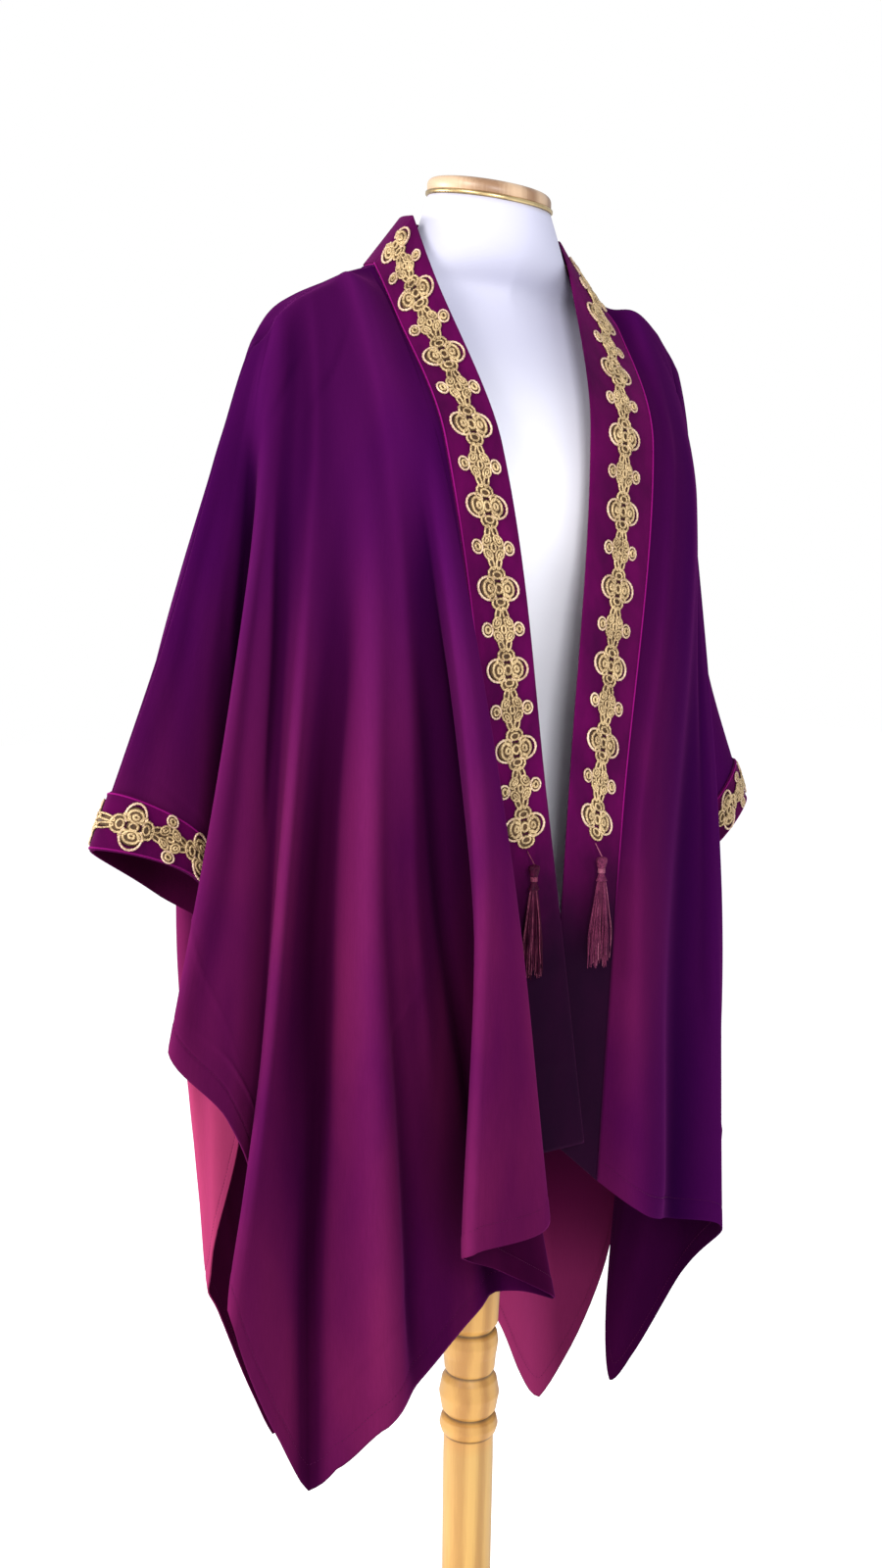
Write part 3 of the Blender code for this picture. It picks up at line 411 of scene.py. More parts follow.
INNER_CORDS = [
    (0.0, 9.0, 6.6, 5.2, -180.0, 180.0, 1.20, 1.2, 0.0),
    (0.0, 8.2, 2.4, 1.9, -180.0, 180.0, 1.25, 1.6, 0.0),
    (7.0, 7.0, 3.6, 1.9, -180.0, 180.0, 0.95, 1.4, 45.0),
    (-7.0, 7.0, 3.6, 1.9, -180.0, 180.0, 0.95, 1.4, -45.0),
    (33.5, 15.4, 2.6, 2.2, -180.0, 180.0, 1.00, 1.5, 0.0),
    (27.9, 5.6, 2.2, 1.2, -180.0, 180.0, 0.90, 1.5, 38.0),
    (39.1, 5.6, 2.2, 1.2, -180.0, 180.0, 0.90, 1.5, -38.0),
    (0.0, 0.0, 3.6, 3.2, -180.0, 180.0, 1.05, 1.5, 0.0),
    (12.0, 0.0, 5.6, 7.6, -150.0, 150.0, 1.00, 1.0, 0.0),
    (-12.0, 0.0, 5.6, 7.6, -150.0, 150.0, 1.00, 1.0, 180.0),
    (11.0, 0.0, 2.8, 4.0, -180.0, 180.0, 0.90, 1.5, 0.0),
    (-11.0, 0.0, 2.8, 4.0, -180.0, 180.0, 0.90, 1.5, 0.0),
    (20.8, 3.6, 5.6, 2.2, -180.0, 180.0, 0.85, 1.0, 18.0),
    (-20.8, 3.6, 5.6, 2.2, -180.0, 180.0, 0.85, 1.0, -18.0),
    (27.9, 5.6, 4.9, 3.4, -180.0, 180.0, 0.95, 1.1, 38.0),
    (39.1, 5.6, 4.9, 3.4, -180.0, 180.0, 0.95, 1.1, -38.0),
    (33.5, 8.8, 2.2, 3.6, -180.0, 180.0, 0.80, 1.1, 0.0),
    (33.5, 0.0, 3.2, 2.2, -180.0, 180.0, 1.00, 1.5, 0.0),
]
CORD_STEP = 1.15
CORD_SIDES = 6
CORD_TWIST = math.pi / 0.003
CORD_LOBES = 0.20
PAD_SIDES = 16
PAD_ANGLES = np.arange(PAD_SIDES) * 360.0 / PAD_SIDES
PAD_RINGS = ((1.0, 0.25), (0.86, 0.72), (0.62, 0.92), (0.34, 1.0))
LACE_SLACK = 0.0012
LACE_OVERRUN = 0.04

# Tassels' fine mesh, and the share of lighter strands
TASSEL_STRANDS = 110
STRAND_RADIUS = 0.00042
STRAND_STEPS = 16
LIGHT_STRANDS = 0.3
HEAD_RINGS = 34
HEAD_SIDES = 28

# Photograph's camera: lens in pixels of the 1600 high frame, turn, tip down, roll and place
LENS_PIXELS = 1568.0
FRAME_HEIGHT = 1600.0
CAMERA_TURN = math.radians(35.0)
CAMERA_TIP = math.radians(7.41)
CAMERA_ROLL = math.radians(0.78)
CAMERA_OUT = 1.4418
CAMERA_ASIDE = 0.0362
CAMERA_HEIGHT = 1.126


def unit(vectors):
    """Scale vectors to length one."""
    return vectors / np.linalg.norm(vectors, axis=-1, keepdims=True)


def spline_weights(knots, at):
    """Return the weights of every knot at a place, for a smooth curve through all of them."""
    knots = np.asarray(knots, float)
    count = len(knots)
    weights = np.zeros(count)
    low = int(np.clip(np.searchsorted(knots, at, side="right") - 1, 0, count - 2))
    span = knots[low + 1] - knots[low]
    t = (at - knots[low]) / span
    weights[low] += 2 * t**3 - 3 * t**2 + 1
    weights[low + 1] += 3 * t**2 - 2 * t**3
    for knot, share in ((low, (t**3 - 2 * t**2 + t) * span), (low + 1, (t**3 - t**2) * span)):
        before = max(knot - 1, 0)
        after = min(knot + 1, count - 1)
        run = knots[after] - knots[before]
        weights[after] += share / run
        weights[before] -= share / run
    return weights


def spline_matrix(knots, where):
    """Return the spline's weights for many places."""
    return np.array([spline_weights(knots, at) for at in where])


def smooth(share):
    """Ease a share from 0 to 1."""
    share = np.clip(share, 0.0, 1.0)
    return share * share * (3.0 - 2.0 * share)


def run_of(points):
    """Return the distance of each point of a path from its first."""
    return np.concatenate([[0.0], np.cumsum(np.linalg.norm(np.diff(points, axis=0), axis=1))])


def between(at, run, table):
    """Return a table's values at a place between its rows."""
    return np.stack([np.interp(at, run, column) for column in table.T], axis=-1)


def top_point(x):
    """Return the top of a hang line: on the shoulder line, the back neckline or the band's upper edge."""
    if abs(x) == NECK_EDGE_X:
        return (x, 0.0, NECK_EDGE_Z)
    if abs(x) >= NECK_SEAM_X:
        return (x, 0.0, float(np.interp(abs(x), SHOULDER_LINE_X, SHOULDER_LINE_Z)))
    round_neck = math.sqrt(1.0 - (x / NECK_SEAM_X) ** 2)
    return (x, NECK_SEAM_BACK_Y * round_neck, NECK_SEAM_Z + NECK_RISE * round_neck)


def crest_point(place, top, at_break):
    """Return the point where a hang line bends down over the shoulder."""
    if place in FRONT_CRESTS:
        return FRONT_CRESTS[place]
    shares = (CREST_OUT, CREST_OUT, CREST_DOWN)
    x, y, z = (start + share * (stop - start) for start, stop, share in zip(top, at_break, shares))
    return (x, y + math.copysign(CREST_FORWARD, at_break[1]) * (at_break[1] != 0.0), z)


def line_points(place, x, *below):
    """Return the five points of a hang line, in metres."""
    top = top_point(x / 1000.0)
    at_break, low, end = (tuple(value / 1000.0 for value in below[k: k + 3]) for k in (0, 3, 6))
    return [top, crest_point(place, top, at_break), at_break, low, end]


TOP_LINE_X = (NECK_EDGE_X,) + SHOULDER_LINE_X + (SHOULDER_TIP_X + SHOULDER_STEP,)
TOP_LINE_Z = (NECK_EDGE_Z,) + SHOULDER_LINE_Z + (SHOULDER_LINE_Z[-1] - 2 * SHOULDER_STEP,)
LINE_PLACES = np.arange(len(LINES), dtype=float)
SHEET_POINTS = np.array([line_points(place, *line) for place, line in enumerate(LINES)])


def on_shoulder(point):
    """Tell whether a top point lies on the shoulder line, outside the neck."""
    return abs(point[0]) >= NECK_SEAM_X - 1e-6


def top_normal(point):
    """Return the way out of the cape at a top point beside the neck or on the shoulder line."""
    outward = abs(point[0])
    before = max(outward - SHOULDER_STEP, NECK_EDGE_X)
    after = outward + SHOULDER_STEP
    heights = np.interp([before, after], TOP_LINE_X, TOP_LINE_Z)
    return unit(np.array([math.copysign(heights[0] - heights[1], point[0]), 0.0, after - before]))


def sheet_points(columns, rows):
    """Return the draped sheet's points: rows along the fall, columns across it."""
    stations = np.tensordot(spline_matrix(LINE_PLACES, columns), SHEET_POINTS, 1)
    for station, across in zip(stations, columns):
        if on_shoulder(station[0]) or SLEEVE_RIGHT_AT < across < SLEEVE_LEFT_AT:
            station[0] = top_point(station[0][0])
    points = np.einsum("rs,csk->rck", spline_matrix(STATIONS, rows), stations)
    points[..., 2] += corner_lift(np.asarray(columns, float), np.asarray(rows, float))
    return points


def corner_lift(columns, rows):
    """Return how far each point rises beside a pointed corner of the sheet."""
    lift = np.zeros(len(columns))
    for corner, before, after in CORNERS:
        away = np.abs(columns - corner)
        height = np.where(columns < corner, before, after)
        lift += height * np.minimum(3.0 * away, 1.0) * np.maximum(1.0 - away, 0.0)
    return smooth((rows - 1.0 + CORNER_REACH) / CORNER_REACH)[:, None] * lift[None, :]


def sheet_grid(columns, rows):
    """Return the sheet's points and its directions out of the cape."""
    columns, rows = np.asarray(columns, float), np.asarray(rows, float)
    points = sheet_points(columns, rows)
    left, right = np.maximum(columns - NORMAL_STEP, 0.0), np.minimum(columns + NORMAL_STEP, float(LAST))
    upper, lower = np.maximum(rows - NORMAL_STEP / 2, 0.0), np.minimum(rows + NORMAL_STEP / 2, 1.0)
    sideways = sheet_points(right, rows) - sheet_points(left, rows)
    down = sheet_points(columns, lower) - sheet_points(columns, upper)
    normals = unit(np.cross(sideways, down))
    tops = sheet_points(columns, [0.0])[0]
    for j, across in enumerate(columns):
        on_back = SLEEVE_RIGHT_AT < across < SLEEVE_LEFT_AT
        if on_shoulder(tops[j]) or not on_back:
            share = np.clip(1.0 - rows / 0.03, 0.0, 1.0)[:, None]
            normals[:, j] = unit(share * top_normal(tops[j]) + (1.0 - share) * normals[:, j])
    return points, normals


def lengths_down(points):
    """Return the distance along each column from its top, and along each row from its first point."""
    down = np.zeros(points.shape[:2])
    down[1:] = np.cumsum(np.linalg.norm(np.diff(points, axis=0), axis=2), axis=0)
    sideways = np.zeros(points.shape[:2])
    sideways[:, 1:] = np.cumsum(np.linalg.norm(np.diff(points, axis=1), axis=2), axis=1)
    return down, sideways


def crease_height(points, columns, rows):
    """Return how far the creases and wrinkles lift each point of a panel."""
    columns, rows = np.asarray(columns), np.asarray(rows)
    step = np.gradient(points, columns, axis=1)
    scale = np.linalg.norm(step, axis=2)
    lift = np.zeros(points.shape[:2])
    along = rows[:, None]
    for top, bottom, start, stop, high, low, width in CREASES:
        share = np.clip((along - start) / (stop - start), 0.0, 1.0)
        line = top + (bottom - top) * share + 0.05 * np.sin(9.0 * share + 3.0 * top)
        distance = (columns[None, :] - line) * np.minimum(scale, 0.05)
        fade = smooth((along - start + CREASE_FADE) / CREASE_FADE)
        fade *= smooth((stop + CREASE_FADE - along) / CREASE_FADE)
        height = high + (low - high) * share
        lift += 0.001 * CREASE_DEPTH * height * fade * np.exp(-((distance / (0.001 * width)) ** 2))
    down, _ = lengths_down(points)
    for across, middle, reach, rise, height, width in WRINKLES:
        offset = (columns[None, :] - across) / reach
        row_at = middle + rise * offset
        metres = (along - row_at) * down[-1:]
        envelope = np.exp(-(offset**2) * 2.0)
        lift += 0.001 * height * envelope * np.exp(-((metres / (0.001 * width)) ** 2))
    return lift


def hollows(grid, normals, reach):
    """Return how far each point of a draped grid lies under (below 0) or over its surroundings, in metres."""
    grid = grid.astype(float)
    width = np.linalg.norm(np.diff(grid, axis=1), axis=2)
    at = np.concatenate([np.zeros((len(grid), 1)), np.cumsum(width, axis=1)], axis=1)
    found = np.zeros(grid.shape[:2])
    for row, (points, places) in enumerate(zip(grid, at)):
        weights = np.exp(-(((places[:, None] - places[None, :]) / reach) ** 2))
        weights *= np.gradient(places)[None, :]
        around = weights @ points / weights.sum(axis=1, keepdims=True)
        found[row] = ((points - around) * normals[row]).sum(axis=1)
    edge = np.minimum(at, at[:, -1:] - at)
    return found * smooth(edge / reach)


def grid_mesh(name, skins, uvs, hollow=None):
    """Make a closed wall from an outer and an inner grid, with UVs in metres; the inner skin is slot 1."""
    outer, inner = skins
    rows, columns = outer.shape[:2]
    count = rows * columns
    index = np.arange(count).reshape(rows, columns)
    a, b, c, d = index[:-1, :-1], index[:-1, 1:], index[1:, 1:], index[1:, :-1]
    front = np.stack([a, d, c, b], axis=-1).reshape(-1, 4)
    back = np.stack([a, b, c, d], axis=-1).reshape(-1, 4) + count
    rim = np.concatenate([index[:, 0], index[-1, 1:], index[-2::-1, -1], index[0, -2:0:-1]])
    after = np.roll(rim, -1)
    edge = np.stack([rim, rim + count, after + count, after], axis=-1)
    faces = np.concatenate([front, back, edge])
    vertices = np.concatenate([outer.reshape(-1, 3), inner.reshape(-1, 3)])
    mesh = bpy.data.meshes.new(name)
    mesh.vertices.add(len(vertices))
    mesh.vertices.foreach_set("co", vertices.astype(np.float32).ravel())
    mesh.loops.add(4 * len(faces))
    mesh.loops.foreach_set("vertex_index", faces.astype(np.int32).ravel())
    mesh.polygons.add(len(faces))
    mesh.polygons.foreach_set("loop_start", np.arange(0, 4 * len(faces), 4, dtype=np.int32))
    mesh.polygons.foreach_set("loop_total", np.full(len(faces), 4, dtype=np.int32))
    slots = np.zeros(len(faces), dtype=np.int32)
    slots[len(front): len(front) + len(back)] = 1
    mesh.polygons.foreach_set("material_index", slots)
    mesh.polygons.foreach_set("use_smooth", np.ones(len(faces), dtype=bool))
    layer = mesh.uv_layers.new(name="UVMap")
    flat = np.concatenate([uvs.reshape(-1, 2), uvs.reshape(-1, 2)])
    layer.data.foreach_set("uv", flat[faces.ravel()].astype(np.float32).ravel())
    if hollow is not None:
        depth = mesh.attributes.new("hollow", "FLOAT", "POINT")
        depth.data.foreach_set("value", np.concatenate([hollow.ravel(), -hollow.ravel()]).astype(np.float32))
    mesh.update(calc_edges=True)
    mesh.validate()
    return mesh


def plain_mesh(name, vertices, faces, soft=True):
    """Make a mesh from vertices and faces, shaded smooth or flat."""
    mesh = bpy.data.meshes.new(name)
    mesh.from_pydata([tuple(vertex) for vertex in vertices], [], faces)
    mesh.polygons.foreach_set("use_smooth", np.full(len(mesh.polygons), soft))
    mesh.update()
    return mesh


def add_piece(name, mesh, node, *materials, replaces=False):
    """Link a mesh as a piece that rides on the frame and may take a node's place."""
    obj = bpy.data.objects.new(name, mesh)
    for material in materials:
        mesh.materials.append(material)
    bpy.context.scene.collection.objects.link(obj)
    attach(obj, "root")
    if replaces:
        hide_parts(node)
    return obj


def add_panel(name, first, last, sleeves, materials):
    """Add a satin panel with its creases, turned hem and hem stitches."""
    columns = np.linspace(first, last, int((last - first) * PANEL_COLUMNS[name]) + 1)
    top = np.linspace(0.0, TOP_SHARE, TOP_ROWS, endpoint=False)
    fall = np.linspace(TOP_SHARE, HEM_SHARE, FALL_ROWS, endpoint=False)
    rows = np.concatenate([top, fall, np.linspace(HEM_SHARE, 1.0, HEM_ROWS)])
    points, normals = sheet_grid(columns, rows)
    down, sideways = lengths_down(points)
    to_edge = down[-1:] - down
    lift = crease_height(points, columns, rows)
    lift *= smooth(down / 0.06) * smooth(np.minimum(columns - first, last - columns) / 0.6 + 0.1)[None, :]
    lift += SEAM_RISE * np.exp(-((sideways - 0.004) / 0.0025) ** 2)
    cuffed = (np.abs(columns[:, None] - np.array(sleeves)).min(axis=1) < CUFF_REACH + 0.05).astype(float)
    hem = smooth((HEM_WIDTH - to_edge) / 0.0015) * (1.0 - cuffed)[None, :]
    groove = HEM_GROOVE * np.exp(-((to_edge - HEM_WIDTH) / 0.0012) ** 2) * (1.0 - cuffed)[None, :]
    middle = points + normals * (lift - groove)[..., None]
    outer = middle + normals * (SHELL_WALL / 2 + HEM_PUFF * hem)[..., None]
    inner = middle - normals * (SHELL_WALL / 2 + HEM_EXTRA * hem)[..., None]
    uvs = np.stack([np.broadcast_to(sideways.mean(axis=0), down.shape), down], axis=-1)
    # How deep each point lies in its fold, kept on the mesh for the satin's painted shade and light
    hollow = np.clip(hollows(outer, normals, HOLLOW_REACH) / HOLLOW_DEPTH, -1.0, 1.0)
    mesh = grid_mesh(name + "_cloth", (outer, inner), uvs, hollow)
    piece = add_piece(name + "_cloth", mesh, name, *materials, replaces=True)
    return piece, add_stitches(name, (outer, inner), normals, to_edge, cuffed, materials[2])


def add_stitches(name, skins, normals, to_edge, cuffed, material):
    """Add the row of hem stitches on both skins, each a low six-pointed hump between two points."""
    level = np.array([np.interp(-HEM_WIDTH, -column, np.arange(len(column))) for column in to_edge.T])
    low = level.astype(int)
    share = (level - low)[:, None]
    at = np.arange(len(level))
    vertices, faces = [], []
    for sign, skin in zip((1.0, -1.0), skins):
        path = skin[low, at] * (1 - share) + skin[np.minimum(low + 1, len(to_edge) - 1), at] * share
        lengths = run_of(path)
        for begin in np.arange(0.004, lengths[-1] - 0.006, STITCH_PITCH):
            if np.interp(begin, lengths, cuffed) > 0.0:
                continue
            start, stop = between(begin, lengths, path), between(begin + STITCH_LENGTH, lengths, path)
            rise = unit(between(begin, lengths, sign * normals[low, at])) * STITCH_RADIUS
            side = unit(np.cross(stop - start, rise)) * STITCH_RADIUS
            middle = (start + stop) / 2
            base = len(vertices)
            vertices += [start, middle + side + rise * 0.3, middle + rise * 1.5, middle - side + rise * 0.3]
            vertices += [stop, middle - rise]
            faces += [tuple(base + i for i in face) for face in STITCH_FACES]
    mesh = plain_mesh(name + "_stitches", vertices, faces, soft=False)
    return add_piece(name + "_stitches", mesh, name, material)


def tube(paths, sides, twist=0.0, lobes=0.0, closed=False):
    """Return the vertices and faces of tubes along paths of (points, outs, radius)."""
    vertices, faces = [], []
    base = 0
    turn = 2 * np.pi * np.arange(sides) / sides
    for points, outs, radius in paths:
        if closed:
            tangent = unit(np.roll(points, -1, axis=0) - np.roll(points, 1, axis=0))
        else:
            tangent = unit(np.gradient(points, axis=0))
        side = unit(np.cross(tangent, outs))
        up = unit(np.cross(side, tangent))
        ring = radius * (1.0 + lobes * np.cos(2.0 * (turn[None, :] - twist * run_of(points)[:, None])))
        spoke = np.cos(turn)[None, :, None] * side[:, None] + np.sin(turn)[None, :, None] * up[:, None]
        vertices.append((points[:, None] + ring[..., None] * spoke).reshape(-1, 3))
        index = base + np.arange(len(points) * sides).reshape(-1, sides)
        beside = np.roll(index, -1, axis=1)
        if closed:
            quads = [index, beside, np.roll(beside, -1, axis=0), np.roll(index, -1, axis=0)]
        else:
            quads = [index[:-1], beside[:-1], beside[1:], index[1:]]
            faces += [tuple(index[0][::-1].tolist()), tuple(index[-1].tolist())]
        faces += [tuple(quad) for quad in np.stack(quads, axis=-1).reshape(-1, 4).tolist()]
        base += index.size
    return np.concatenate(vertices), faces


def add_tubes(name, paths, sides, node, material):
    """Add one piece of many tubes."""
    return add_piece(name, plain_mesh(name, *tube(paths, sides)), node, material)


def add_velvet(name, skins, uvs, welts, materials):
    """Add a velvet band in the place of its node, and the welts along its seams, and return both."""
    mesh = grid_mesh(name + "_velvet", skins, uvs)
    piece = add_piece(name + "_velvet", mesh, name, *materials, replaces=True)
    paths = [(path, outs, WELT_RADIUS) for path, outs in welts]
    return piece, add_tubes(name + "_welt", paths, WELT_SIDES, name, materials[2])


def band_grid(first, rows, shares):
    """Return a front band's points and normals, straight across between its edges."""
    points, normals = sheet_grid([first, first + 1], rows)
    shares = np.asarray(shares)[None, :, None]
    across = points[:, :1] * (1 - shares) + points[:, 1:] * shares
    return across, unit(normals[:, :1] * (1 - shares) + normals[:, 1:] * shares)


def add_band(name, first, welt_share, materials):
    """Add a velvet band with its wrinkles, soft rounded edges and the welt along its seam."""
    rows = np.linspace(0.0, 1.0, BAND_ROWS)
    shares = np.concatenate([[0.004, 0.012, 0.03], np.linspace(0.06, 0.94, 19), [0.97, 0.988, 0.996]])
    points, normals = band_grid(first, rows, shares)
    down, _ = lengths_down(points)
    lift = np.zeros(points.shape[:2])
    for place, slant, height, width in BAND_WRINKLES[name]:
        middle = place + slant * (shares[None, :] - 0.5) * 2
        lift += 0.0007 * height * np.exp(-(((rows[:, None] - middle) / width) ** 2)) * np.sin(np.pi * shares)
    edge = np.minimum(shares, 1 - shares) * BAND_WIDTH
    puff = BAND_PUFF * smooth(edge / 0.004)
    wall = BAND_WALL / 2 * (0.35 + 0.65 * smooth(edge / 0.0015))
    skins = points + normals * (lift + wall + puff)[..., None], points + normals * (lift - wall)[..., None]
    uvs = np.stack([np.broadcast_to(shares * BAND_WIDTH, down.shape), down], axis=-1)
    line, outs = band_grid(first, np.linspace(0.0, 1.0, 300), [welt_share])
    welt = (line[:, 0] + outs[:, 0] * (BAND_WALL / 2 + 0.0004), outs[:, 0])
    return add_velvet(name, skins, uvs, [welt], materials)


def neck_band_point(share, turn):
    """Return a point and normal on the band behind the neck: turn runs from the right side to the left."""
    angle = math.pi * turn
    around = np.array([-math.cos(angle), math.sin(angle)])
    low = np.array([around[0] * NECK_SEAM_X, around[1] * NECK_SEAM_BACK_Y, NECK_SEAM_Z + NECK_RISE * around[1]])
    edge_z = NECK_EDGE_Z + NECK_RISE * around[1]
    high = np.array([around[0] * NECK_EDGE_X, around[1] * NECK_EDGE_BACK_Y, edge_z])
    upward = unit(high - low)
    sideways = unit(np.array([math.sin(angle) * NECK_SEAM_X, math.cos(angle) * NECK_SEAM_BACK_Y, 0.0]))
    return high + share * (low - high), unit(np.cross(sideways, upward))


def neck_band_grid(shares, turns):
    """Return the points and normals of the band behind the neck: shares down by turns across."""
    pairs = [[neck_band_point(share, turn) for turn in turns] for share in shares]
    points = np.array([[point for point, _ in line] for line in pairs])
    return points, np.array([[out for _, out in line] for line in pairs])


def add_neck_band(materials):
    """Add the velvet band that stands round the back of the neck."""
    shares = np.concatenate([[0.004, 0.03], np.linspace(0.07, 0.90, 15), [0.93, 0.955]])
    turns = np.linspace(0.001, 0.999, 141)
    points, normals = neck_band_grid(shares, turns)
    edge = np.minimum(shares, 1 - shares) * BAND_WIDTH
    wall = (BAND_WALL / 2 * (0.4 + 0.6 * smooth(edge / 0.0015)))[:, None, None]
    down, sideways = lengths_down(points)
    (path,), (outs,) = neck_band_grid([0.952], turns)
    welt = (path + outs * (BAND_WALL / 2 + 0.0003), outs)
    skins = points + normals * wall, points - normals * wall
    return add_velvet("band_neck", skins, np.stack([sideways, down], axis=-1), [welt], materials)


def cuff_grid(sleeve, columns, rows):
    """Return a cuff's points and normals on the sleeve's end."""
    across = np.linspace(sleeve - CUFF_REACH, sleeve + CUFF_REACH, columns)
    return sheet_grid(across, np.linspace(CUFF_TOP, 1.0, rows))


def add_cuff(name, sleeve, materials):
    """Add a velvet cuff band with a welt at its upper seam and at its lower edge."""
    points, normals = cuff_grid(sleeve, 121, 25)
    base = CLOTH_WALL / 2 + LAY_GAP
    across = np.linspace(0.0, 1.0, 25)
    edge = np.minimum(across, 1 - across) * 0.06
    high = base + BAND_WALL * (0.35 + 0.65 * smooth(edge / 0.002))
    down, sideways = lengths_down(points)
    skins = points + normals * high[:, None, None], points + normals * (base - 0.0002)
    welts = [(points[row] + normals[row] * (base + BAND_WALL), normals[row]) for row in (1, -2)]
    return add_velvet(name, skins, np.stack([sideways, down], axis=-1), welts, materials)


def mirrored(rows):
    """Return the rows of a lace table, each one off the middle followed by its mirror image."""
    for row in rows:
        yield row
        if row[1]:
            yield (row[0], -row[1], *row[2:-1], -row[-1])


def ellipse(along, across, radius_along, radius_across, turn, angles):
    """Return points of an ellipse in the lace's own plane, in millimetres."""
    angles = np.radians(angles)
    local = np.stack([radius_along * np.cos(angles), radius_across * np.sin(angles)], axis=-1)
    c, s = math.cos(math.radians(turn)), math.sin(math.radians(turn))
    return local @ np.array([[c, s], [-s, c]]) + np.array([along, across])


def add_lace(name, place, length, start, scale, materials):
    """Add a lace trim. place(distance, offset, height) maps metres along, across and up to the world."""
    def fits(plan):
        where = plan[:, 0] * 0.001 - start
        return where.min() > -LACE_SLACK and where.max() < length + LACE_SLACK

    def lay(plan, height):
        return np.array([place(x * 0.001 - start, y * 0.001, 0.001 * height) for x, y in plan])

    vertices, faces = [], []
    cords = {"outer_cords": {True: [], False: []}, "inner_cords": {True: [], False: []}}
    first = math.floor((start - LACE_OVERRUN) / TRIM_REPEAT)
    last = math.ceil((start + length + LACE_OVERRUN) / TRIM_REPEAT)
    for shift in (repeat * TRIM_REPEAT * 1000.0 for repeat in range(first, last + 1)):
        for along, across, r_along, r_across, height, turn in mirrored(LACE_PADS):
            along, across, r_across = along + shift, across * scale, r_across * scale
            if not fits(ellipse(along, across, r_along, r_across, turn, np.arange(-180.0, 180.0, 60.0))):
                continue
            base, top = len(vertices), (len(PAD_RINGS) - 1) * PAD_SIDES
            for ring, rise in PAD_RINGS:
                plan = ellipse(along, across, ring * r_along, ring * r_across, turn, PAD_ANGLES)
                vertices += list(lay(plan, height * rise))
            vertices += [*lay([(along, across)], height), *lay([(along, across)], 0.0)]
            crown, foot = base + top + PAD_SIDES, base + top + PAD_SIDES + 1
            for i in range(PAD_SIDES):
                j = (i + 1) % PAD_SIDES
                for low in range(base, base + top, PAD_SIDES):
                    faces.append((low + i, low + j, low + PAD_SIDES + j, low + PAD_SIDES + i))
                faces += [(base + top + i, base + top + j, crown), (base + j, base + i, foot)]
        for label, table in (("outer_cords", OUTER_CORDS), ("inner_cords", INNER_CORDS)):
            for along, across, r_along, r_across, begin, stop, radius, height, turn in mirrored(table):
                r_across *= scale
                closed = stop - begin > 359.0
                count = max(int(math.radians(stop - begin) * (r_along + r_across) / 2 / CORD_STEP), 6)
                angles = np.linspace(begin, stop, count + 1)[:count + (not closed)]
                plan = ellipse(along + shift, across * scale, r_along, r_across, turn, angles)
                if fits(plan):
                    points = lay(plan, height)
                    above = unit(lay(plan, height + 1.0) - points)
                    cords[label][closed].append((points, above, 0.001 * radius))
    ground = plain_mesh(name + "_ground", vertices, faces)
    add_piece(name + "_ground", ground, name, materials[0], replaces=True)
    for (label, groups), material in zip(cords.items(), materials[1:]):
        vertices, faces = [], []
        for closed, paths in groups.items():
            if paths:
                points, quads = tube(paths, CORD_SIDES, CORD_TWIST, CORD_LOBES, closed)
                faces += [tuple(len(vertices) + i for i in quad) for quad in quads]
                vertices += points.tolist()
        add_piece(name + "_" + label, plain_mesh(name + "_" + label, vertices, faces), name, material)


def grid_place(points, normals, base):
    """Return the mapping of a lace along a grid's rows, and the run of its middle: points is rows by shares."""
    half = len(points[0]) // 2
    run = run_of(points[:, half])
    width = np.linalg.norm(points[:, -1] - points[:, 0], axis=1)
    tables = (points[:, 0], points[:, -1], normals[:, half], width)

    def place(distance, offset, height):
        at = float(np.interp(distance, run, np.arange(len(run))))
        low = min(int(at), len(run) - 2)
        left, right, out, wide = (table[low] + (at - low) * (table[low + 1] - table[low]) for table in tables)
        return left + (0.5 + offset / wide) * (right - left) + out * (base + height)

    return place, run


def add_front_lace(name, first, materials):
    """Add the lace of a front band and return where it ends and the way out there."""
    points, normals = band_grid(first, np.linspace(0.0, 1.0, 401), [0.0, 0.5, 1.0])
    place, run = grid_place(points, normals, BAND_WALL / 2 + LAY_GAP)
    length = float(np.interp(-TRIM_END_Z, -points[:, 1, 2], run))
    shift = (TRIM_END_SHARE * TRIM_REPEAT - length) % TRIM_REPEAT
    add_lace(name, place, length, shift, 1.0, materials)
    return place(length, 0.0, TRIM_WALL / 2), unit(place(length, 0.0, 0.01) - place(length, 0.0, 0.0))


def add_whole_lace(name, points, normals, base, scale, materials):
    """Add the lace of the neck or of a cuff, over the whole length of its band."""
    place, run = grid_place(points.transpose(1, 0, 2), normals.transpose(1, 0, 2), base)
    add_lace(name, place, run[-1], 0.0, scale, materials)


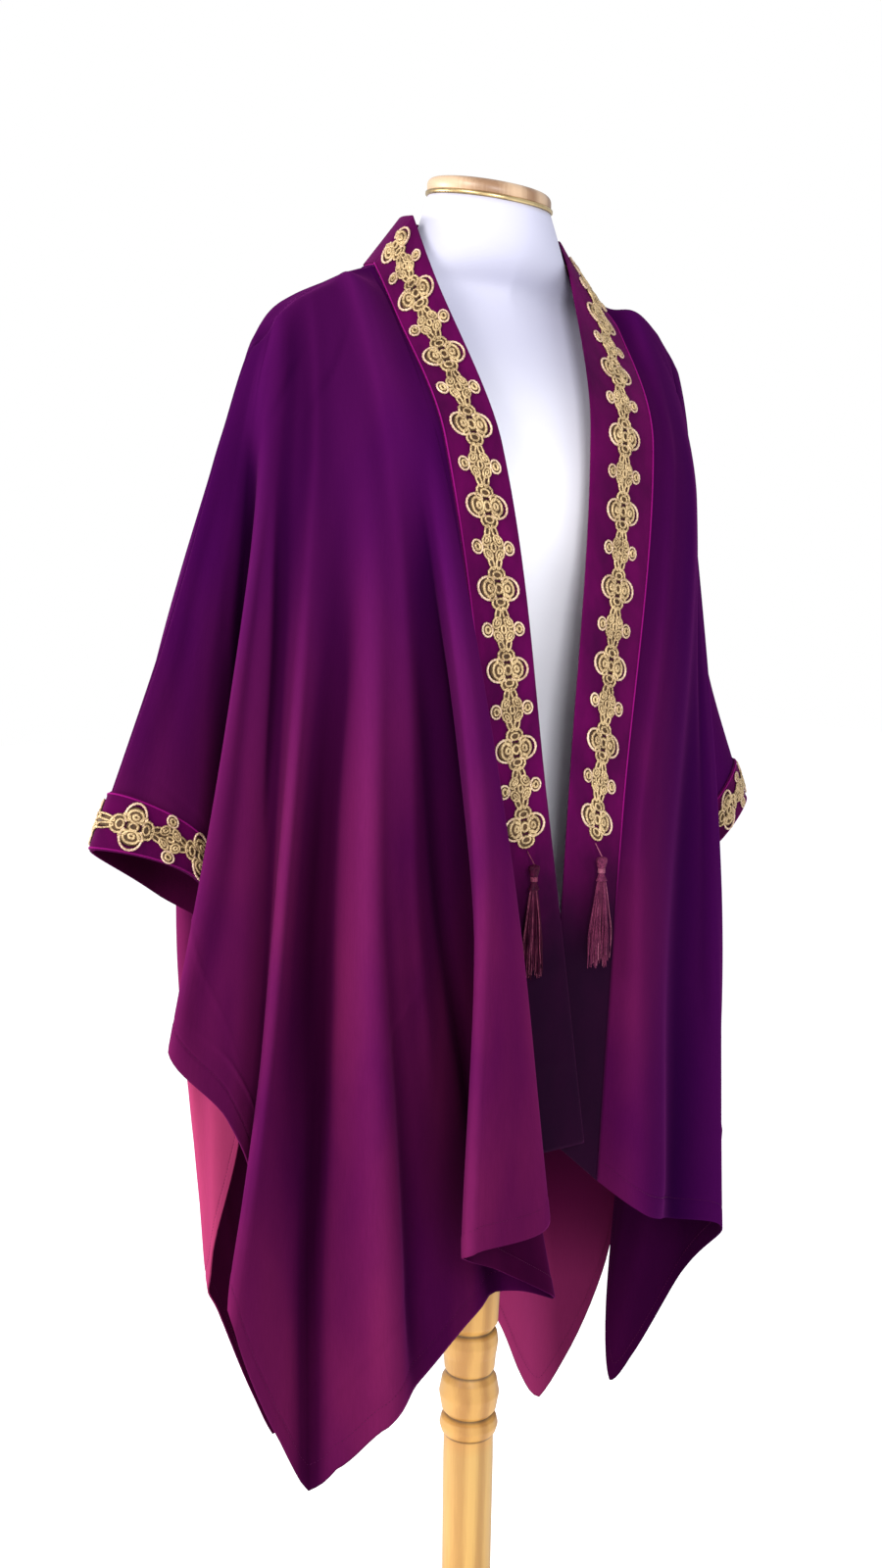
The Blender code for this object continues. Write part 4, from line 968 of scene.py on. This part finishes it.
def add_tassel(name, top, away, seed, materials):
    """Add a tassel: thread, bound heart-shaped head, neck winding and hanging strands."""
    rng = np.random.default_rng(seed)
    side = unit(np.cross(UP, away))
    level = unit(np.cross(side, UP))

    def at(x, y, z):
        share = min(z / TASSEL_HEAD[1][1], 1.0)
        return top + away * TASSEL_STANDOFF * share + side * x + level * y + UP * (z - THREAD_GAP)

    profile = np.array(TASSEL_HEAD[1:])
    rings = []
    for z in np.linspace(profile[0][1], profile[-1][1], HEAD_RINGS):
        r = np.interp(-z, -profile[:, 1], profile[:, 0])
        angles = 2 * np.pi * np.arange(HEAD_SIDES) / HEAD_SIDES
        ribbed = r * (1.0 + 0.05 * np.cos(9 * angles + 160.0 * z))
        plan = zip(ribbed * np.cos(angles), 0.8 * ribbed * np.sin(angles))
        rings.append([at(x, y, z) for x, y in plan])
    loft(name + "_head", rings[::-1], materials[0], name)

    paths = [(np.array([at(0.0, 0.0, z) for z in np.linspace(0.0, -0.0125, 8)]), side, 0.0005)]
    for turn in range(5):
        z = TASSEL_HEAD[5][1] + 0.0016 - 0.0008 * turn
        around = [(0.0030 * math.cos(a), 0.0026 * math.sin(a)) for a in np.linspace(0, 2 * math.pi, 22)]
        paths.append((np.array([at(x, y, z) for x, y in around]), UP, 0.00045))
    add_tubes(name + "_binding", paths, 6, name, materials[1])

    strands = {"_strands": [], "_strands_light": []}
    for _ in range(TASSEL_STRANDS):
        angle = rng.uniform(0, 2 * math.pi)
        share = math.sqrt(rng.uniform(0.02, 1.0))
        spread = rng.uniform(0.55, 1.0)
        length = STRAND_LENGTH * rng.uniform(0.84, 1.04) + 0.005
        sway = rng.normal(0.0, 0.0016, 2)
        wave = rng.uniform(0.0, 2 * math.pi, 2)
        path = []
        for t in np.arange(STRAND_STEPS) / (STRAND_STEPS - 1):
            flare = share * (0.0022 + (0.0130 * spread - 0.0022) * min(1.35 * t**0.7, 1.0))
            x = flare * math.cos(angle) + sway[0] * t * t + 0.0006 * math.sin(7 * t + wave[0]) * t
            y = 0.42 * flare * math.sin(angle) + 0.6 * sway[1] * t * t + 0.0004 * math.sin(9 * t + wave[1]) * t
            path.append(at(x, y, TASSEL_HEAD[-2][1] - length * t))
        thick = STRAND_RADIUS * rng.uniform(0.7, 1.15)
        label = "_strands_light" if rng.uniform() < LIGHT_STRANDS else "_strands"
        strands[label].append((np.array(path), side, thick))
    for (label, paths), material in zip(strands.items(), materials):
        add_tubes(name + label, paths, 5, name, material)


def loft(name, rings, material, node):
    """Add a smooth closed loft through rings from the bottom to the top, in the place of a node."""
    sides = len(rings[0])
    index = np.arange(len(rings) * sides).reshape(-1, sides)
    beside = np.roll(index, -1, axis=1)
    quads = np.stack([index[:-1], beside[:-1], beside[1:], index[1:]], axis=-1).reshape(-1, 4)
    faces = [tuple(face) for face in (*quads.tolist(), index[0][::-1].tolist(), index[-1].tolist())]
    return add_piece(name, plain_mesh(name, np.concatenate(rings), faces), node, material, replaces=True)


def lathe(name, profile, step, soften, sides, material, node):
    """Add a turned piece from a profile down its outer side, with close rings and slightly rounded corners."""
    profile = np.array(profile)
    run = run_of(profile)
    fine = between(np.linspace(0.0, run[-1], int(run[-1] / step) + 1), run, profile)
    wide = max(int(soften / step), 1)
    kernel = np.exp(-np.linspace(-1.6, 1.6, 2 * wide + 1) ** 2)
    padded = np.pad(fine, ((wide, wide), (0, 0)), mode="edge")
    rounded = np.stack([np.convolve(line, kernel / kernel.sum(), mode="valid") for line in padded.T], axis=-1)
    rounded[[0, -1]] = fine[[0, -1]]
    angle = 2 * np.pi * np.arange(sides) / sides
    circle = np.stack([np.cos(angle), np.sin(angle), np.zeros(sides)], axis=-1)
    loft(name, [r * circle + z * UP for r, z in rounded[::-1]], material, node)


def torso_ring(height, half_width, front, back, squareness, sides):
    """Return one section of the dress form."""
    middle, half_depth = (front + back) / 2, (back - front) / 2
    angle = 2 * np.pi * np.arange(sides) / sides
    x = np.sign(np.cos(angle)) * np.abs(np.cos(angle)) ** (2 / squareness)
    y = np.sign(np.sin(angle)) * np.abs(np.sin(angle)) ** (2 / squareness)
    return np.stack([half_width * x, middle + half_depth * y, np.full(sides, height)], axis=-1)


def neck_rings(profile):
    """Return rings round the neck's tilted end, from radii and heights."""
    angle = 2 * np.pi * np.arange(FORM_SIDES) / FORM_SIDES
    rings = []
    for radius, height in profile:
        x, y = radius * np.cos(angle), radius * np.sin(angle)
        rings.append(np.stack([x, y, height + y * math.tan(NECK_TILT) - x * math.tan(NECK_LEAN)], axis=-1))
    return rings


def add_form(materials):
    """Add the dress form's cloth torso, brass rim plate, wooden cap, pole and base."""
    shoulders = [(top_point(row[0])[2] - SHOULDER_CLEARANCE, *row) for row in SHOULDER_SECTIONS]
    sections = np.array(TORSO_SECTIONS + shoulders + NECK_SECTIONS)
    run = run_of(sections[:, :2])
    at = np.unique(np.concatenate([run, np.linspace(0.0, run[-1], 110)]))
    fine = spline_matrix(run, at) @ sections
    fine[:, 1] = np.minimum(fine[:, 1], np.interp(at, run, sections[:, 1]) + 0.0015)
    rings = [torso_ring(*section, FORM_SIDES) for section in fine]
    rings = np.array(rings + neck_rings([(NECK_RADIUS, NECK_TOP_Z)]))
    low = len(fine) - SOFT_RINGS
    for _ in range(SOFT_ROUNDS):
        rings[low:-1] = (rings[low - 1:-2] + 2.0 * rings[low:-1] + rings[low + 1:]) / 4.0
    loft("form_torso_cloth", rings, materials["form"], "form_torso")

    low, high = NECK_TOP_Z + FORM_GAP, NECK_TOP_Z + FORM_GAP + RIM_THICKNESS
    inner, outer = CAP_RADIUS + 0.0008, CAP_RADIUS + 0.0015
    rim = neck_rings([(inner, low), (outer, low + 0.0006), (outer, high - 0.0006), (inner, high)])
    loft("neck_rim_plate", rim, materials["brass"], "neck_rim")
    low = high + FORM_GAP
    cap = [(CAP_RADIUS - 0.0005, low), (CAP_RADIUS, low + 0.0006), (CAP_RADIUS, low + CAP_THICKNESS * 0.45)]
    for angle in np.radians(90.0 * np.arange(1, 9) / 8):
        radius = CAP_RADIUS - 0.0075 * (1 - math.cos(angle))
        cap.append((radius, low + CAP_THICKNESS * (0.45 + 0.55 * math.sin(angle))))
    loft("neck_cap_wood", neck_rings(cap), materials["cap_wood"], "neck_cap")
    lathe("pole_wood", POLE_PROFILE, 0.0010, 0.0010, 64, materials["wood"], "pole")
    lathe("base_wood", BASE_PROFILE, 0.002, 0.003, 96, materials["wood"], "base")


class Nodes:
    """A small helper that builds a material's nodes."""

    def __init__(self, name):
        self.material = bpy.data.materials.new(name)
        self.material.use_nodes = True
        self.tree = self.material.node_tree
        self.shader = self.tree.nodes["Principled BSDF"]
        place = self.add("ShaderNodeTexCoord")
        self.object, self.uv = place.outputs["Object"], place.outputs["UV"]
        self.axes = self.add("ShaderNodeSeparateXYZ", Vector=self.object).outputs

    def put(self, value, target):
        """Link a socket to an input, or set the input to a plain value."""
        if hasattr(value, "is_linked"):
            self.tree.links.new(value, target)
        elif target.type == "RGBA" and len(value) == 3:
            target.default_value = (*value, 1.0)
        else:
            target.default_value = value

    def add(self, kind, settings=(), **inputs):
        """Add a node with its settings, and set or link its inputs."""
        node = self.tree.nodes.new(kind)
        for key, value in dict(settings).items():
            setattr(node, key, value)
        for key, value in inputs.items():
            self.put(value, node.inputs[key.replace("_", " ")])
        return node

    def set(self, **values):
        """Set or link the shader's own inputs."""
        for key, value in values.items():
            self.put(value, self.shader.inputs[key.replace("_", " ")])

    def ramp(self, factor, stops):
        """Add a colour ramp with stops of (place, colour)."""
        node = self.add("ShaderNodeValToRGB", Fac=factor)
        elements = node.color_ramp.elements
        while len(elements) < len(stops):
            elements.new(0.5)
        for element, (place, colour) in zip(elements, stops):
            element.position = place
            element.color = (*colour, 1.0)
        return node.outputs["Color"]

    def mix(self, factor, first, second, blend="MIX"):
        """Mix two colours, each a socket or a colour."""
        node = self.add("ShaderNodeMix", {"data_type": "RGBA", "blend_type": blend})
        for value, target in ((factor, 0), (first, 6), (second, 7)):
            self.put(value, node.inputs[target])
        return node.outputs[2]

    def fleck(self, factor, tone, where, darkest):
        """Darken a colour in the small dark spots of a noise."""
        shade = self.ramp(where, [(0.3, (darkest,) * 3), (0.7, (1.0, 1.0, 1.0))])
        return self.mix(factor, tone, shade, "MULTIPLY")

    def noise(self, vector, scale, detail=3.0, roughness=0.5, stretch=None):
        if stretch:
            vector = self.add("ShaderNodeMapping", Scale=stretch, Vector=vector).outputs["Vector"]
        node = self.add("ShaderNodeTexNoise", Scale=scale, Detail=detail, Roughness=roughness, Vector=vector)
        return node.outputs["Fac"]

    def wave(self, vector, scale, direction="X", distortion=0.0, detail=0.0):
        node = self.add("ShaderNodeTexWave", {"bands_direction": direction}, Scale=scale, Vector=vector)
        node.inputs["Distortion"].default_value = distortion
        node.inputs["Detail"].default_value = detail
        return node.outputs["Fac"]

    def bump(self, height, strength, distance, below=None):
        node = self.add("ShaderNodeBump", Strength=strength, Distance=distance, Height=height)
        if below is not None:
            self.put(below, node.inputs["Normal"])
        return node.outputs["Normal"]

    def math(self, operation, first, second):
        node = self.add("ShaderNodeMath", {"operation": operation})
        self.put(first, node.inputs[0])
        self.put(second, node.inputs[1])
        return node.outputs[0]

    def rise(self, value, low, high, share=1.0, kind="LINEAR"):
        """Return a share that rises from 0 between two places."""
        inputs = {"Value": value, "From_Min": low, "From_Max": high}
        node = self.add("ShaderNodeMapRange", {"interpolation_type": kind}, **inputs)
        return self.math("MULTIPLY", node.outputs["Result"], share) if share != 1.0 else node.outputs["Result"]

    def ease(self, axis, low, high, share=1.0):
        """Return a share that eases in from 0 between two places along an axis."""
        return self.rise(self.axes[axis], low, high, share, "SMOOTHSTEP")


def linear(r, g, b):
    """Return the linear colour of an sRGB colour in 0 to 255."""
    shares = [c / 255.0 for c in (r, g, b)]
    return tuple(c / 12.92 if c <= 0.04045 else ((c + 0.055) / 1.055) ** 2.4 for c in shares)


def satin_material(name, light, deep, shade_violet, rose=None):
    """Make a smooth woven satin: plum towards the hem, more violet at the shoulders and the left side as
    painted shade.
    """
    n = Nodes(name)
    drift = n.noise(n.object, 1.6, stretch=(5.0, 5.0, 1.6))
    tone = n.ramp(drift, [(0.38, deep), (0.62, light)])
    # Painted shade: a darker violet mixed in towards the shoulders and towards the left side (positive x)
    tone = n.mix(n.math("MAXIMUM", n.ease("Z", 0.75, 1.25, 0.75), n.ease("X", 0.02, 0.16, 0.85)), tone, shade_violet)
    # Painted sunlight: where given, a rose tone on the outer side near the back's edge at negative x, low down
    if rose is not None:
        side = n.math("MULTIPLY", n.ease("X", -0.19, -0.225), n.ease("Z", 0.78, 0.62))
        tone = n.mix(n.math("MULTIPLY", side, n.ease("Y", 0.135, 0.095)), tone, rose)
    # Painted shade in the folds' troughs and painted light on their ridges, from how deep each point lies
    depth = n.add("ShaderNodeAttribute", {"attribute_name": "hollow"}).outputs["Fac"]
    tone = n.mix(1.0, tone, n.ramp(n.rise(depth, -1.0, 1.0), FOLD_PAINTED_SHADE_AND_LIGHT), "MULTIPLY")
    fleck = n.noise(n.uv, 1.0, 2.0, stretch=(900.0, 60.0, 1.0))
    weft = n.math("MULTIPLY", n.wave(n.uv, 250.0, "Y", 0.4), 0.5)
    weave = n.math("ADD", n.wave(n.uv, 330.0, "X", 0.4), weft)
    slub = n.bump(n.noise(n.object, 42.0, stretch=(1.0, 1.0, 0.35)), 0.18, 0.0012)
    rough = n.add("ShaderNodeMapRange", Value=fleck, To_Min=0.42, To_Max=0.56).outputs["Result"]
    n.set(Base_Color=n.fleck(0.16, tone, fleck, 0.5), Roughness=rough)
    n.set(Normal=n.bump(weave, 0.16, 0.00012, slub))
    n.set(Sheen_Weight=0.10, Sheen_Roughness=0.35, Sheen_Tint=(0.75, 0.10, 0.60, 1.0))
    n.set(Specular_IOR_Level=0.0, Specular_Tint=(1.0, 0.22, 0.85, 1.0))
    return n.material


def lining_material(name):
    """Make the inside of the back with painted light and shade: dark at the top and the right side, bright pink
    painted sunlight at the left corner's hem.
    """
    n = Nodes(name)
    # Painted sunlight low down, fading to painted shade higher up and at the sides
    stops = [(0.10, INSIDE_SUNLIT_PINK), (0.24, INSIDE_HALF_SUNLIT_ROSE), (0.38, INSIDE_SHADED_DARK)]
    lit = n.ramp(n.rise(n.axes["Z"], 0.30, 0.90), stops)
    lit = n.mix(n.rise(n.axes["X"], 0.150, 0.185, 0.6), lit, INSIDE_SHADE)
    tone = n.mix(n.rise(n.axes["X"], -0.10, 0.04), INSIDE_SHADE, lit)
    fleck = n.noise(n.uv, 1.0, 2.0, stretch=(900.0, 60.0, 1.0))
    weave = n.bump(n.wave(n.uv, 330.0, "X", 0.4), 0.15, 0.00012, n.bump(n.noise(n.object, 40.0), 0.15, 0.001))
    n.set(Base_Color=n.fleck(0.14, tone, fleck, 0.5), Normal=weave, Roughness=0.6, Specular_IOR_Level=0.0)
    return n.material


def velvet_material(name, colour, dark, sheen):
    """Make velvet: a short dense pile that darkens where it is brushed and glows at its rims, with painted
    shade low down.
    """
    n = Nodes(name)
    brushed = n.noise(n.uv, 1.0, 4.0, 0.6, stretch=(18.0, 9.0, 1.0))
    tone = n.ramp(brushed, [(0.30, dark), (0.62, colour)])
    # Painted shade: the velvet turns almost black low down the bands, below the lace
    tone = n.mix(n.ease("Z", 0.95, 0.80, 0.92), tone, linear(14, 0, 20))
    pile = n.noise(n.uv, 2600.0, 2.0)
    normal = n.bump(pile, 0.45, 0.0004, n.bump(brushed, 0.25, 0.0015))
    n.set(Base_Color=n.fleck(0.35, tone, pile, 0.35), Normal=normal, Roughness=0.9, Specular_IOR_Level=0.06)
    n.set(Sheen_Weight=sheen, Sheen_Roughness=0.35, Sheen_Tint=(0.70, 0.06, 0.52, 1.0))
    return n.material


def thread_material(name, light, dark, metallic=0.0, roughness=0.5, scale=900.0, specular=0.05):
    """Make a twisted thread: fine slanting filaments with lighter and darker ones."""
    n = Nodes(name)
    strands = n.noise(n.object, scale, 2.0, 0.6)
    patch = n.math("MULTIPLY", n.noise(n.object, 90.0, 2.0), 0.3)
    both = n.math("ADD", n.math("MULTIPLY", strands, 0.7), patch)
    n.set(Base_Color=n.ramp(both, [(0.36, dark), (0.62, light)]), Normal=n.bump(strands, 0.6, 0.0003))
    n.set(Roughness=roughness, Metallic=metallic, Specular_IOR_Level=specular)
    return n.material


def form_material(name):
    """Make the dress form's off-white stretch cloth with a fine knit, whitened low down by painted light."""
    n = Nodes(name)
    tone = n.ramp(n.noise(n.object, 5.0), [(0.3, linear(190, 190, 210)), (0.7, linear(200, 200, 216))])
    fuzz = n.math("MULTIPLY", n.noise(n.object, 700.0, 2.0), 0.8)
    knit = n.math("ADD", n.wave(n.object, 320.0, "Z", 0.6), fuzz)
    # Painted light: the cloth turns whiter low down, in the V between the bands, where it lies in shade
    tone = n.mix(n.ease("Z", 1.36, 1.16), tone, linear(246, 246, 252))
    n.set(Base_Color=tone, Normal=n.bump(knit, 0.18, 0.0002))
    n.set(Roughness=0.85, Sheen_Weight=0.05, Specular_IOR_Level=0.15)
    return n.material


def wood_material(name, light, dark, ring_scale, roughness, coat):
    """Make turned wood: long grain up the piece with fine pores and soft growth rings, and painted shade at the
    pole's grooves.
    """
    n = Nodes(name)
    squeezed = n.add("ShaderNodeMapping", Scale=(1.0, 0.6, 0.05), Vector=n.object).outputs["Vector"]
    rings = n.math("MULTIPLY", n.wave(squeezed, ring_scale, "X", 5.0, 2.0), 0.55)
    pores = n.noise(n.object, 420.0, 4.0, 0.65, stretch=(1.0, 1.0, 0.06))
    grain = n.ramp(n.math("ADD", rings, n.math("MULTIPLY", pores, 0.45)), [(0.25, dark), (0.70, light)])
    # Painted shade: dark bands at the heights of the pole's grooves
    stops = [(0.0, (1.0, 1.0, 1.0))]
    for groove in GROOVES:
        for away, shade in ((-GROOVE_REACH, 1.0), (0.0, 0.22), (GROOVE_REACH, 1.0)):
            place = (groove + away - GROOVES_FROM) / (GROOVES_TO - GROOVES_FROM)
            stops.append((place, (shade, 0.9 * shade, 0.8 * shade)))
    grooves = n.ramp(n.rise(n.axes["Z"], GROOVES_FROM, GROOVES_TO), stops)
    n.set(Base_Color=n.mix(1.0, grain, grooves, "MULTIPLY"), Normal=n.bump(pores, 0.10, 0.0004))
    n.set(Roughness=roughness, Coat_Weight=coat, Coat_Roughness=0.25)
    return n.material


def brass_material(name):
    """Make thin pale brass, darker where it has tarnished."""
    n = Nodes(name)
    patch = n.noise(n.object, 26.0, 4.0, 0.6)
    scratch = n.noise(n.object, 300.0, 2.0, stretch=(1.0, 1.0, 14.0))
    n.set(Base_Color=n.ramp(patch, [(0.34, linear(120, 92, 60)), (0.60, linear(222, 198, 146))]))
    n.set(Normal=n.bump(scratch, 0.12, 0.0003), Metallic=1.0, Roughness=0.34)
    return n.material


def stage_material(name, shade):
    """Make the plain pale floor."""
    n = Nodes(name)
    tone = n.ramp(n.noise(n.object, 2.0), [(0.3, (shade * 0.985,) * 3), (0.7, (shade,) * 3)])
    n.set(Base_Color=tone, Emission_Color=tone, Emission_Strength=0.5, Roughness=0.9, Specular_IOR_Level=0.1)
    return n.material


def add_camera():
    """Add the camera at the photograph's viewing angle."""
    s, c = math.sin(CAMERA_TURN), math.cos(CAMERA_TURN)
    place = Vector((-CAMERA_OUT * s - CAMERA_ASIDE * c, -CAMERA_OUT * c + CAMERA_ASIDE * s, CAMERA_HEIGHT))
    forward = Vector((s * math.cos(CAMERA_TIP), c * math.cos(CAMERA_TIP), -math.sin(CAMERA_TIP)))
    right = Vector((c, -s, 0.0))
    up = right.cross(forward)
    rolled_right = right * math.cos(CAMERA_ROLL) + up * math.sin(CAMERA_ROLL)
    rolled_up = up * math.cos(CAMERA_ROLL) - right * math.sin(CAMERA_ROLL)
    data = bpy.data.cameras.new("camera")
    data.sensor_fit = "VERTICAL"
    data.sensor_height = 36.0
    data.lens = LENS_PIXELS / FRAME_HEIGHT * 36.0
    camera = bpy.data.objects.new("camera", data)
    frame = Matrix((rolled_right, rolled_up, -forward)).transposed().to_4x4()
    camera.matrix_world = Matrix.Translation(place) @ frame
    bpy.context.scene.collection.objects.link(camera)
    bpy.context.scene.camera = camera


def add_light(name, place, target, size, power, colour):
    """Add a soft area light that looks at a point."""
    data = bpy.data.lights.new(name, "AREA")
    data.shape = "RECTANGLE"
    data.size, data.size_y = size
    data.energy = power
    data.color = colour
    light = bpy.data.objects.new(name, data)
    light.location = place
    light.rotation_euler = (Vector(target) - Vector(place)).to_track_quat("-Z", "Y").to_euler()
    bpy.context.scene.collection.objects.link(light)


def add_stage():
    """Add the pale floor, the soft lights and the even pale surroundings."""
    corners = [(-9, -9, 0), (9, -9, 0), (9, 9, 0), (-9, 9, 0)]
    mesh = plain_mesh("floor", corners, [(0, 1, 2, 3)], soft=False)
    floor = bpy.data.objects.new("floor", mesh)
    mesh.materials.append(stage_material("floor_paint", 0.90))
    bpy.context.scene.collection.objects.link(floor)
    floor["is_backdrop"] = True
    world = bpy.data.worlds.new("studio")
    world.use_nodes = True
    nodes, links = world.node_tree.nodes, world.node_tree.links
    seen, soft = nodes["Background"], nodes.new("ShaderNodeBackground")
    either = nodes.new("ShaderNodeMixShader")
    links.new(nodes.new("ShaderNodeLightPath").outputs["Is Camera Ray"], either.inputs["Fac"])
    for slot, node, colour, strength in (
        (1, soft, (0.93, 0.95, 1.0, 1.0), WORLD_STRENGTH),
        (2, seen, (1.0, 1.0, 1.0, 1.0), BACKDROP_STRENGTH),
    ):
        node.inputs["Color"].default_value = colour
        node.inputs["Strength"].default_value = strength
        links.new(node.outputs["Background"], either.inputs[slot])
    links.new(either.outputs["Shader"], nodes["World Output"].inputs["Surface"])
    bpy.context.scene.world = world
    bpy.context.scene.view_settings.view_transform = "Standard"
    for spec in LIGHTS:
        add_light(*spec)


# Wood: painted shade at the pole's grooves, by height; cloth: painted shade in the folds' troughs and painted
# light on their ridges
GROOVES_FROM = 0.27
GROOVES_TO = 0.42
GROOVES = (0.2875, 0.308, 0.352, 0.3965)
GROOVE_REACH = 0.0022
FOLD_PAINTED_SHADE_AND_LIGHT = [
    (0.05, (0.16, 0.10, 0.20)),
    (0.30, (0.40, 0.32, 0.48)),
    (0.50, (0.84, 0.80, 0.84)),
    (0.72, (1.18, 1.20, 1.12)),
    (1.0, (1.40, 1.60, 1.36)),
]
# Inside of the back: pink and rose painted sunlight, and dark painted shade
INSIDE_SUNLIT_PINK = linear(136, 42, 90)
INSIDE_HALF_SUNLIT_ROSE = linear(92, 20, 60)
INSIDE_SHADED_DARK = linear(28, 3, 20)
INSIDE_SHADE = linear(52, 5, 36)
BACKDROP_STRENGTH = 1.0
WORLD_STRENGTH = 0.70
LIGHTS = [
    ("key", (-2.6, -0.8, 2.2), (0.0, 0.0, 0.85), (1.0, 1.0), 62.0, (1.0, 0.96, 0.90)),
    ("fill", (-0.8, -1.7, 1.6), (0.05, 0.0, 1.05), (0.5, 0.5), 18.0, (0.97, 0.97, 1.0)),
    ("back", (-2.2, 1.8, 1.4), (0.0, 0.0, 0.65), (1.0, 1.0), 70.0, (1.0, 0.95, 0.92)),
]


def add_cape():
    """Add the cloth panels, the velvet bands and the lace."""
    # The satins' colours: light and deep tones, then the darker violet of the painted shade
    satin = linear(90, 20, 64), linear(66, 8, 58), linear(46, 3, 62)
    satins = [
        satin_material("satin", *satin),
        # The back's last colour, rose, is painted sunlight on its side
        satin_material("satin_back", *satin, linear(150, 52, 92)),
        satin_material("satin_reverse", linear(62, 6, 44), linear(46, 4, 36), linear(44, 4, 44)),
    ]
    inside = lining_material("satin_inside")
    hem_thread = thread_material("hem_thread", linear(88, 20, 66), linear(50, 8, 46))
    velvet = velvet_material("velvet", linear(92, 1, 72), linear(58, 0, 50), 0.12)
    velvets = (velvet, velvet, velvet_material("velvet_welt", linear(150, 18, 118), linear(110, 6, 88), 0.22))
    # The lace ground's dark brown is partly its own colour and partly painted shade between and under the
    # raised cords
    laces = [
        thread_material(name, linear(*light), linear(*dark), *finish)
        for name, light, dark, finish in (
            ("gold_ground", (96, 70, 44), (44, 28, 20), (0.1, 0.55, 1400.0, 0.3)),
            ("gold_outer_cord", (240, 212, 182), (150, 112, 84), (0.1, 0.42, 900.0, 0.5)),
            ("gold_inner_cord", (224, 196, 146), (104, 76, 44), (0.15, 0.40, 900.0, 0.5)),
        )
    ]
    fronts, back = (satins[0], satins[2], hem_thread), (satins[1], inside, hem_thread)
    for name, first, last, sleeves, flat, area, fabrics in (
        ("front_right", RIGHT_SEAM, SLEEVE_RIGHT_AT, [SLEEVE_RIGHT_AT], (0.66, 0.86), 0.43, fronts),
        ("back", SLEEVE_RIGHT_AT, SLEEVE_LEFT_AT, [SLEEVE_RIGHT_AT, SLEEVE_LEFT_AT], (1.42, 0.98), 0.77, back),
        ("front_left", SLEEVE_LEFT_AT, LEFT_SEAM, [SLEEVE_LEFT_AT], (0.66, 0.86), 0.30, fronts),
    ):
        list(add_panel(name, first, last, sleeves, fabrics))
    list(add_band("band_right", 0, 0.978, velvets))
    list(add_band("band_left", LEFT_SEAM, 0.022, velvets))
    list(add_neck_band(velvets))
    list(add_cuff("cuff_right", SLEEVE_RIGHT_AT, velvets))
    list(add_cuff("cuff_left", SLEEVE_LEFT_AT, velvets))
    ends = [add_front_lace("trim_right", 0, laces), add_front_lace("trim_left", LEFT_SEAM, laces)]
    neck = neck_band_grid((0.0, 0.5, 1.0), np.linspace(0.0, 1.0, 121))
    add_whole_lace("trim_neck", *neck, BAND_WALL / 2 + LAY_GAP, 1.0, laces)
    base = CLOTH_WALL / 2 + LAY_GAP + BAND_WALL + LAY_GAP
    for name, sleeve in (("trim_cuff_right", SLEEVE_RIGHT_AT), ("trim_cuff_left", SLEEVE_LEFT_AT)):
        add_whole_lace(name, *cuff_grid(sleeve, 161, 3), base, CUFF_TRIM_SCALE, laces)
    return ends


def main():
    """Build every piece, the camera and the stage."""
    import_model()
    cad_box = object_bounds()
    right_end, left_end = add_cape()
    dark = thread_material("tassel_thread_dark", linear(66, 12, 40), linear(28, 3, 20))
    rose = thread_material("tassel_thread_rose", linear(128, 62, 84), linear(58, 14, 38))
    add_tassel("tassel_right", *right_end, 11, (dark, rose))
    plum = thread_material("tassel_thread_plum", linear(116, 48, 78), linear(60, 16, 44))
    mauve = thread_material("tassel_thread_mauve", linear(160, 92, 114), linear(92, 40, 66))
    add_tassel("tassel_left", *left_end, 23, (plum, mauve))
    add_form({
        "form": form_material("form_cloth"),
        "brass": brass_material("brass"),
        "cap_wood": wood_material("cap_wood", linear(194, 172, 148), linear(140, 112, 88), 9.0, 0.42, 0.15),
        "wood": wood_material("pole_wood", linear(204, 162, 90), linear(174, 130, 68), 14.0, 0.5, 0.05),
    })
    add_stage()
    add_camera()
    [[list(map(float, corner)) for corner in box] for box in (cad_box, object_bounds())]


main()
